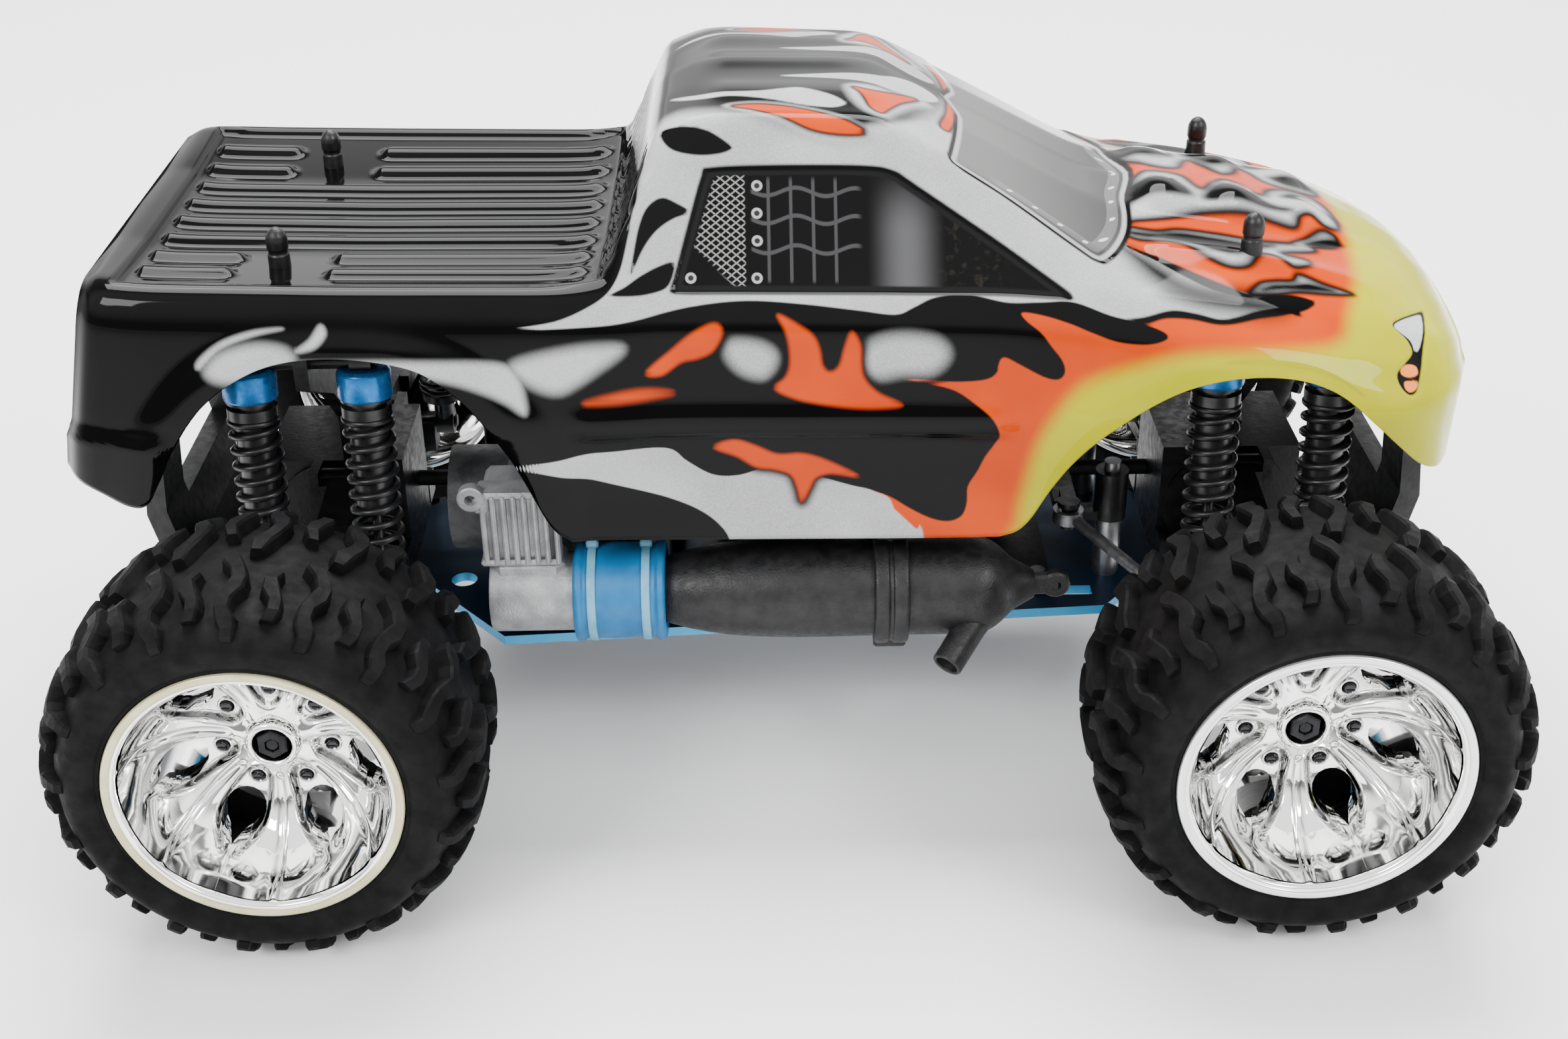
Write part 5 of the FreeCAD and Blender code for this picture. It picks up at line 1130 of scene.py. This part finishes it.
def build_exhaust(looks):
    """Finned header, rubber sleeve with two ties, and the muffler with its joint, lugs and outlet."""
    header, sleeve, ties, muffler = (Parts() for _ in range(4))
    lengthwise = (1, 0, 0)
    sideways = (0, 1, 0)
    # the port block, the plates over and under the fins, the elbow, the ear's foot and the engine's flange
    for centre, size, bevel in (
            ((-76.5, -53.6, 86.0), (21.0, 19.4, 23.0), 1.6), ((-76.5, -60.6, 97.6), (22.6, 9.0, 2.2), 0.7),
            ((-76.5, -60.6, 75.6), (22.6, 9.0, 2.0), 0.7), ((-74.5, -57.6, 71.6), (21.0, 14.0, 9.0), 2.4),
            ((-86.4, -63.4, 94.8), (4.6, 3.8, 5.4), 0.9), ((-74.0, -43.2, 86.0), (15.0, 7.0, 12.0), 1.0)):
        add_block(header, centre, size, bevel)
    for fin in range(8):
        add_block(header, (-86.0 + 2.95 * fin, -62.6, 86.6), (1.5, 6.6, 22.4), 0.5)
    add_turned(header, rounded(HEADER_TUBE, 0.8), lengthwise, PIPE, 48)
    add_turned(header, HEADER_EAR, sideways, (-89.0, -64.0, 97.2), 28)
    add_turned(sleeve, rounded(SLEEVE, 0.9), lengthwise, PIPE, 56)
    for middle in (-56.3, -40.6):
        add_turned(ties, rounded(np.array(TIE) + (0, middle), 0.3, 2), lengthwise, PIPE, 56)
        add_block(ties, PIPE + (middle, 2.0, 15.2), (3.6, 4.2, 2.6), 0.6)
    # tapered front chamber, bolted joint, rear chamber and cone
    front = curve_through(CHAMBER, 6, closed=False)
    rear = curve_through(BACK, 6, closed=False)
    joint = rounded(JOINT, 0.4, 2)
    outline = np.concatenate([((0.0, -37.4),), front, joint, rear, ((4.2, 73.0), (0.0, 73.2))])
    add_turned(muffler, outline, lengthwise, PIPE, 64)
    for offset, size in (((30.6, 0.0, -16.6), (9.6, 9.0, 5.0)), ((30.6, 1.0, 16.8), (9.6, 6.0, 4.0)),
                         ((76.5, 0.0, 0.0), (9.0, 3.6, 6.4))):
        add_block(muffler, PIPE + offset, size, 0.8)
    add_turned(muffler, MUFFLER_RING, sideways, PIPE + (79.6, 0.0, 0.0), 24)
    add_turned(muffler, rounded(OUTLET, 0.6), OUTLET_WAY, OUTLET_FOOT, 36)
    header = header.piece("ExhaustHeader", looks["header"], "chassis", "cast_manifold", ("exhaust_manifold",))
    sleeve.piece("ExhaustSleeve", looks["silicone"], "chassis", "blue_silicone", ("exhaust_coupler",))
    ties = ties.piece("ExhaustTies", looks["tie"], "chassis", "blue_silicone")
    muffler = muffler.piece("Muffler", looks["muffler"], "chassis", "muffler_composite", ("muffler",))
    soften_edges(header, 32.0)
    soften_edges(muffler, 34.0)
    soften_edges(ties, 34.0)


# ---------------------------------------------------------------- body posts

POST_STEM = ((0, 131.0), (3.6, 131.0), (3.6, 156.5), (3.1, 157.2), (3.0, 162.6), (2.65, 163.0), (2.65, 163.9),
             (3.0, 164.3), (3.0, 166.9), (2.75, 168.2), (2.0, 169.5), (0.9, 170.3), (0, 170.5))
POST_Y = 41.0
POST_BEHIND_TOWER = 6.5


def build_posts(black):
    """Four stepped posts with a clip groove, a foot block and two collars each."""
    posts = Parts()
    for x, sign in itertools.product((TOWER_X["front"], TOWER_X["rear"]), (-1, 1)):
        base = np.array([x - POST_BEHIND_TOWER, sign * POST_Y, 0.0])
        add_turned(posts, rounded(POST_STEM, 0.35, 2), (0, 0, 1), base, 24)
        add_block(posts, base + (4.5, 0, 140.6), (6.4, 9.0, 11.0), 0.8)
        for height in (150.5, 154.5):
            collar = ((0, 0), (3.9, 0), (3.9, 1.4), (0, 1.4))
            add_turned(posts, collar, (0, 0, 1), base + (0, 0, height), 20)
    soften_edges(posts.piece("BodyPosts", black, "chassis", "moulded_black", ("body_posts",)), 35)


# ---------------------------------------------------------------- finishes of the pieces and the CAD nodes

# Material name, its two colours, the scale of their patches, its two roughnesses, and what else differs.
FINISHES = {
    "lining": ("ShellInside", (0.003, 0.003, 0.003), (0.006, 0.006, 0.006), 60, (0.4, 0.6), {"gloss": 0.15}),
    "rubber": ("TyreRubber", (0.0018, 0.0018, 0.002), (0.005, 0.005, 0.0055), 140, (0.6, 0.75),
               {"gloss": 0.08, "bump": 0.2, "bump_scale": 700}),
    "lip_front": ("RimLipFront", (0.74, 0.75, 0.75), (0.84, 0.84, 0.84), 120, (0.16, 0.26),
                  {"metallic": 0.8}),
    "lip_rear": ("RimLipRear", (0.46, 0.42, 0.25), (0.55, 0.51, 0.33), 120, (0.2, 0.32),
                 {"metallic": 0.4}),
    "black": ("MouldedBlack", (0.003, 0.003, 0.0033), (0.008, 0.008, 0.0086), 160, (0.3, 0.46),
              {"bump": 0.1}),
    "spring": ("SpringWire", (0.003, 0.003, 0.0033), (0.007, 0.007, 0.008), 120, (0.3, 0.42),
               {"gloss": 0.35}),
    "shock": ("ShockBody", (0.003, 0.003, 0.0033), (0.007, 0.007, 0.008), 90, (0.25, 0.4),
              {"gloss": 0.4}),
    "blue_cap": ("BlueCap", (0.010, 0.11, 0.34), (0.016, 0.17, 0.46), 300, (0.24, 0.36),
                 {"metallic": 0.55}),
    "head": ("EngineHead", (0.006, 0.02, 0.16), (0.012, 0.04, 0.26), 200, (0.2, 0.32), {"metallic": 0.8}),
    "engine": ("CastEngine", (0.10, 0.103, 0.106), (0.17, 0.173, 0.176), 220, (0.42, 0.58),
               {"metallic": 0.5, "bump": 0.25, "bump_scale": 1400}),
    "header": ("CastHeader", (0.26, 0.265, 0.27), (0.38, 0.385, 0.39), 160, (0.38, 0.55),
               {"metallic": 0.5, "bump": 0.3, "bump_scale": 1300}),
    "muffler": ("Muffler", (0.006, 0.006, 0.0065), (0.014, 0.014, 0.015), 240, (0.36, 0.52),
                {"bump": 0.25, "bump_scale": 1600}),
    "silicone": ("BlueSilicone", (0.006, 0.105, 0.27), (0.010, 0.15, 0.35), 110, (0.34, 0.48), {}),
    "tie": ("PaleTie", (0.10, 0.30, 0.44), (0.16, 0.38, 0.52), 200, (0.34, 0.46), {}),
    "steel": ("Steel", (0.20, 0.20, 0.21), (0.34, 0.34, 0.35), 260, (0.28, 0.42), {"metallic": 0.9}),
    "dark_steel": ("DarkSteel", (0.006, 0.006, 0.007), (0.016, 0.016, 0.018), 260, (0.3, 0.42),
                   {"metallic": 0.5}),
    "tank": ("SmokedTank", (0.006, 0.006, 0.007), (0.014, 0.014, 0.015), 70, (0.22, 0.34), {}),
    "gear": ("GearNylon", (0.008, 0.008, 0.008), (0.018, 0.018, 0.019), 200, (0.42, 0.58), {}),
    "bell": ("ClutchSteel", (0.16, 0.16, 0.165), (0.30, 0.30, 0.305), 240, (0.25, 0.4), {"metallic": 0.9}),
}
# The finish of each CAD node that still shows, and of those that each corner has.
NODE_LOOKS = {
    "chassis_plate": "plate", "gearbox_housings": "black", "shock_towers": "black", "bumpers": "black",
    "radio_tray": "black", "servos": "black", "fuel_tank": "tank", "fuel_tank_cap": "tank",
    "engine_and_carburettor": "engine", "engine_head": "head", "fasteners": "steel",
    "spur_gear_and_shafts": "gear",
    "clutch_bell": "bell", "bellcrank_left": "black", "bellcrank_right": "black", "drag_link": "black",
    "servo_horn": "black", "servo_link": "steel",
}
CORNER_LOOKS = {
    "lower_arm": "black", "upper_arm": "black", "hub_carrier": "black", "knuckle": "black",
    "tie_rod": "steel",
    "drive_shaft": "dark_steel", "shock_cylinders": "shock", "shock_rods": "shock",
}


def make_looks():
    looks = {"paint": body_paint(), "plating": plating_look(), "plate": plate_look()}
    for key, (*values, extras) in FINISHES.items():
        looks[key] = plain_look(*values, **extras)
    return looks


def dress_frame(looks):
    """Gives every CAD piece that still shows its own finish."""
    for name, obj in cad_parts.items():
        finish = NODE_LOOKS.get(name)
        for ending, corner_finish in CORNER_LOOKS.items():
            if name.endswith("_" + ending):
                finish = corner_finish
        if finish is not None:
            obj.data.materials.clear()
            obj.data.materials.append(looks[finish])


# ---------------------------------------------------------------- studio

# Soft lamps: name, place, the point it faces, size (all in metres) and power.
LAMPS = (
    ("Overhead", (0.0, 0.45, 1.45), (0.0, 0.0, 0.08), (1.5, 0.6), 50.0),
    ("FrontLeft", (-1.1, -1.3, 1.3), (0.0, 0.0, 0.08), (0.8, 0.5), 28.0),
    ("FrontRight", (1.3, -1.2, 1.4), (0.0, 0.0, 0.08), (0.6, 0.6), 24.0),
    ("Behind", (0.0, 1.6, 2.2), (0.0, 0.0, 0.0), (2.0, 0.7), 60.0),
)
FLOOR_REACH = 9000.0
CAMERA_PLACE = (-0.0039, -0.5623, 0.3732)
CAMERA_PITCH = math.radians(29.75)
CAMERA_YAW = math.radians(0.41)
CAMERA_ROLL = math.radians(-0.71)


def build_floor():
    look = Look("StudioFloor")
    look.set(Base_Color=look.mix(look.noise(3.0, 1.0), (0.90, 0.90, 0.90), (0.93, 0.93, 0.93)), Roughness=0.6)
    corners = [(x * FLOOR_REACH, y * FLOOR_REACH, 0) for x, y in ((-1, -1), (1, -1), (1, 1), (-1, 1))]
    mesh = mesh_from("StudioFloor", corners, ((0, 1, 2, 3),), smooth=False)
    new_object("StudioFloor", mesh, look.material)


def build_sky():
    """Soft light all round: stronger from the near side, from above and from the nose."""
    world = bpy.data.worlds.new("Studio")
    bpy.context.scene.world = world
    world.use_nodes = True
    sky = Nodes(world.node_tree)
    x, y, z = sky.node("SeparateXYZ", {0: sky.node("TexCoord").outputs["Generated"]}).outputs
    near_and_top = sky.times(sky.ramp(y, -0.25, 0.25, 1.0, 0.24), sky.ramp(z, 0.10, 0.42, 0.35, 2.0))
    nose = sky.ramp(x, 0.6, 0.9, 0.0, 0.7)
    haze = sky.times(sky.ramp(y, -0.4, 0.2, 0.0, 1.1), sky.ramp(z, 0.12, 0.25, 1.0, 0.0))
    far_band = sky.times(sky.ramp(y, 0.3, 0.75, 0.0, 1.7), sky.span(z, 0.10, 0.22, 0.44, 0.58))
    strength = near_and_top
    for part in (nose, haze, far_band):
        strength = sky.math("ADD", strength, part)
    background = sky.tree.nodes["Background"]
    sky.feed(background.inputs["Color"], (1.0, 1.0, 1.0))
    sky.feed(background.inputs["Strength"], strength)


def add_lamps():
    for name, place, aim, size, power in LAMPS:
        light = bpy.data.lights.new(name, "AREA")
        light.shape = "RECTANGLE"
        light.size, light.size_y = size
        light.energy = power
        obj = bpy.data.objects.new(name, light)
        obj.location = place
        obj.rotation_euler = (Vector(aim) - Vector(place)).to_track_quat("-Z", "Y").to_euler()
        bpy.context.scene.collection.objects.link(obj)


def add_camera():
    """The camera at the photograph's viewing angle."""
    level_way = Vector((math.sin(CAMERA_YAW), math.cos(CAMERA_YAW), 0))
    forward = level_way * math.cos(CAMERA_PITCH) - Vector((0, 0, math.sin(CAMERA_PITCH)))
    level = Vector((math.cos(CAMERA_YAW), -math.sin(CAMERA_YAW), 0))
    up = level.cross(forward)
    right = level * math.cos(CAMERA_ROLL) + up * math.sin(CAMERA_ROLL)
    up = up * math.cos(CAMERA_ROLL) - level * math.sin(CAMERA_ROLL)
    camera = bpy.data.cameras.new("PhotoView")
    camera.sensor_width = 36.0
    camera.lens = 46.1
    camera.clip_start = 0.01
    obj = bpy.data.objects.new("PhotoView", camera)
    turn = Matrix((right, up, -forward)).transposed().to_4x4()
    obj.matrix_world = Matrix.Translation(CAMERA_PLACE) @ turn
    bpy.context.scene.collection.objects.link(obj)
    bpy.context.scene.camera = obj


looks = make_looks()
build_shell(looks["paint"], looks["lining"])
for (end, end_sign), (side, side_sign) in itertools.product(ENDS.items(), SIDES.items()):
    corner = "%s_%s" % (end, side)
    build_rim(corner, end_sign * HALF_WHEELBASE, side_sign, looks)
    build_tyre(corner, end_sign * HALF_WHEELBASE, side_sign, looks["rubber"])
    build_shocks(corner, TOWER_X[end], side_sign, looks)
build_exhaust(looks)
build_posts(looks["black"])
dress_frame(looks)
build_floor()
build_sky()
add_lamps()
add_camera()
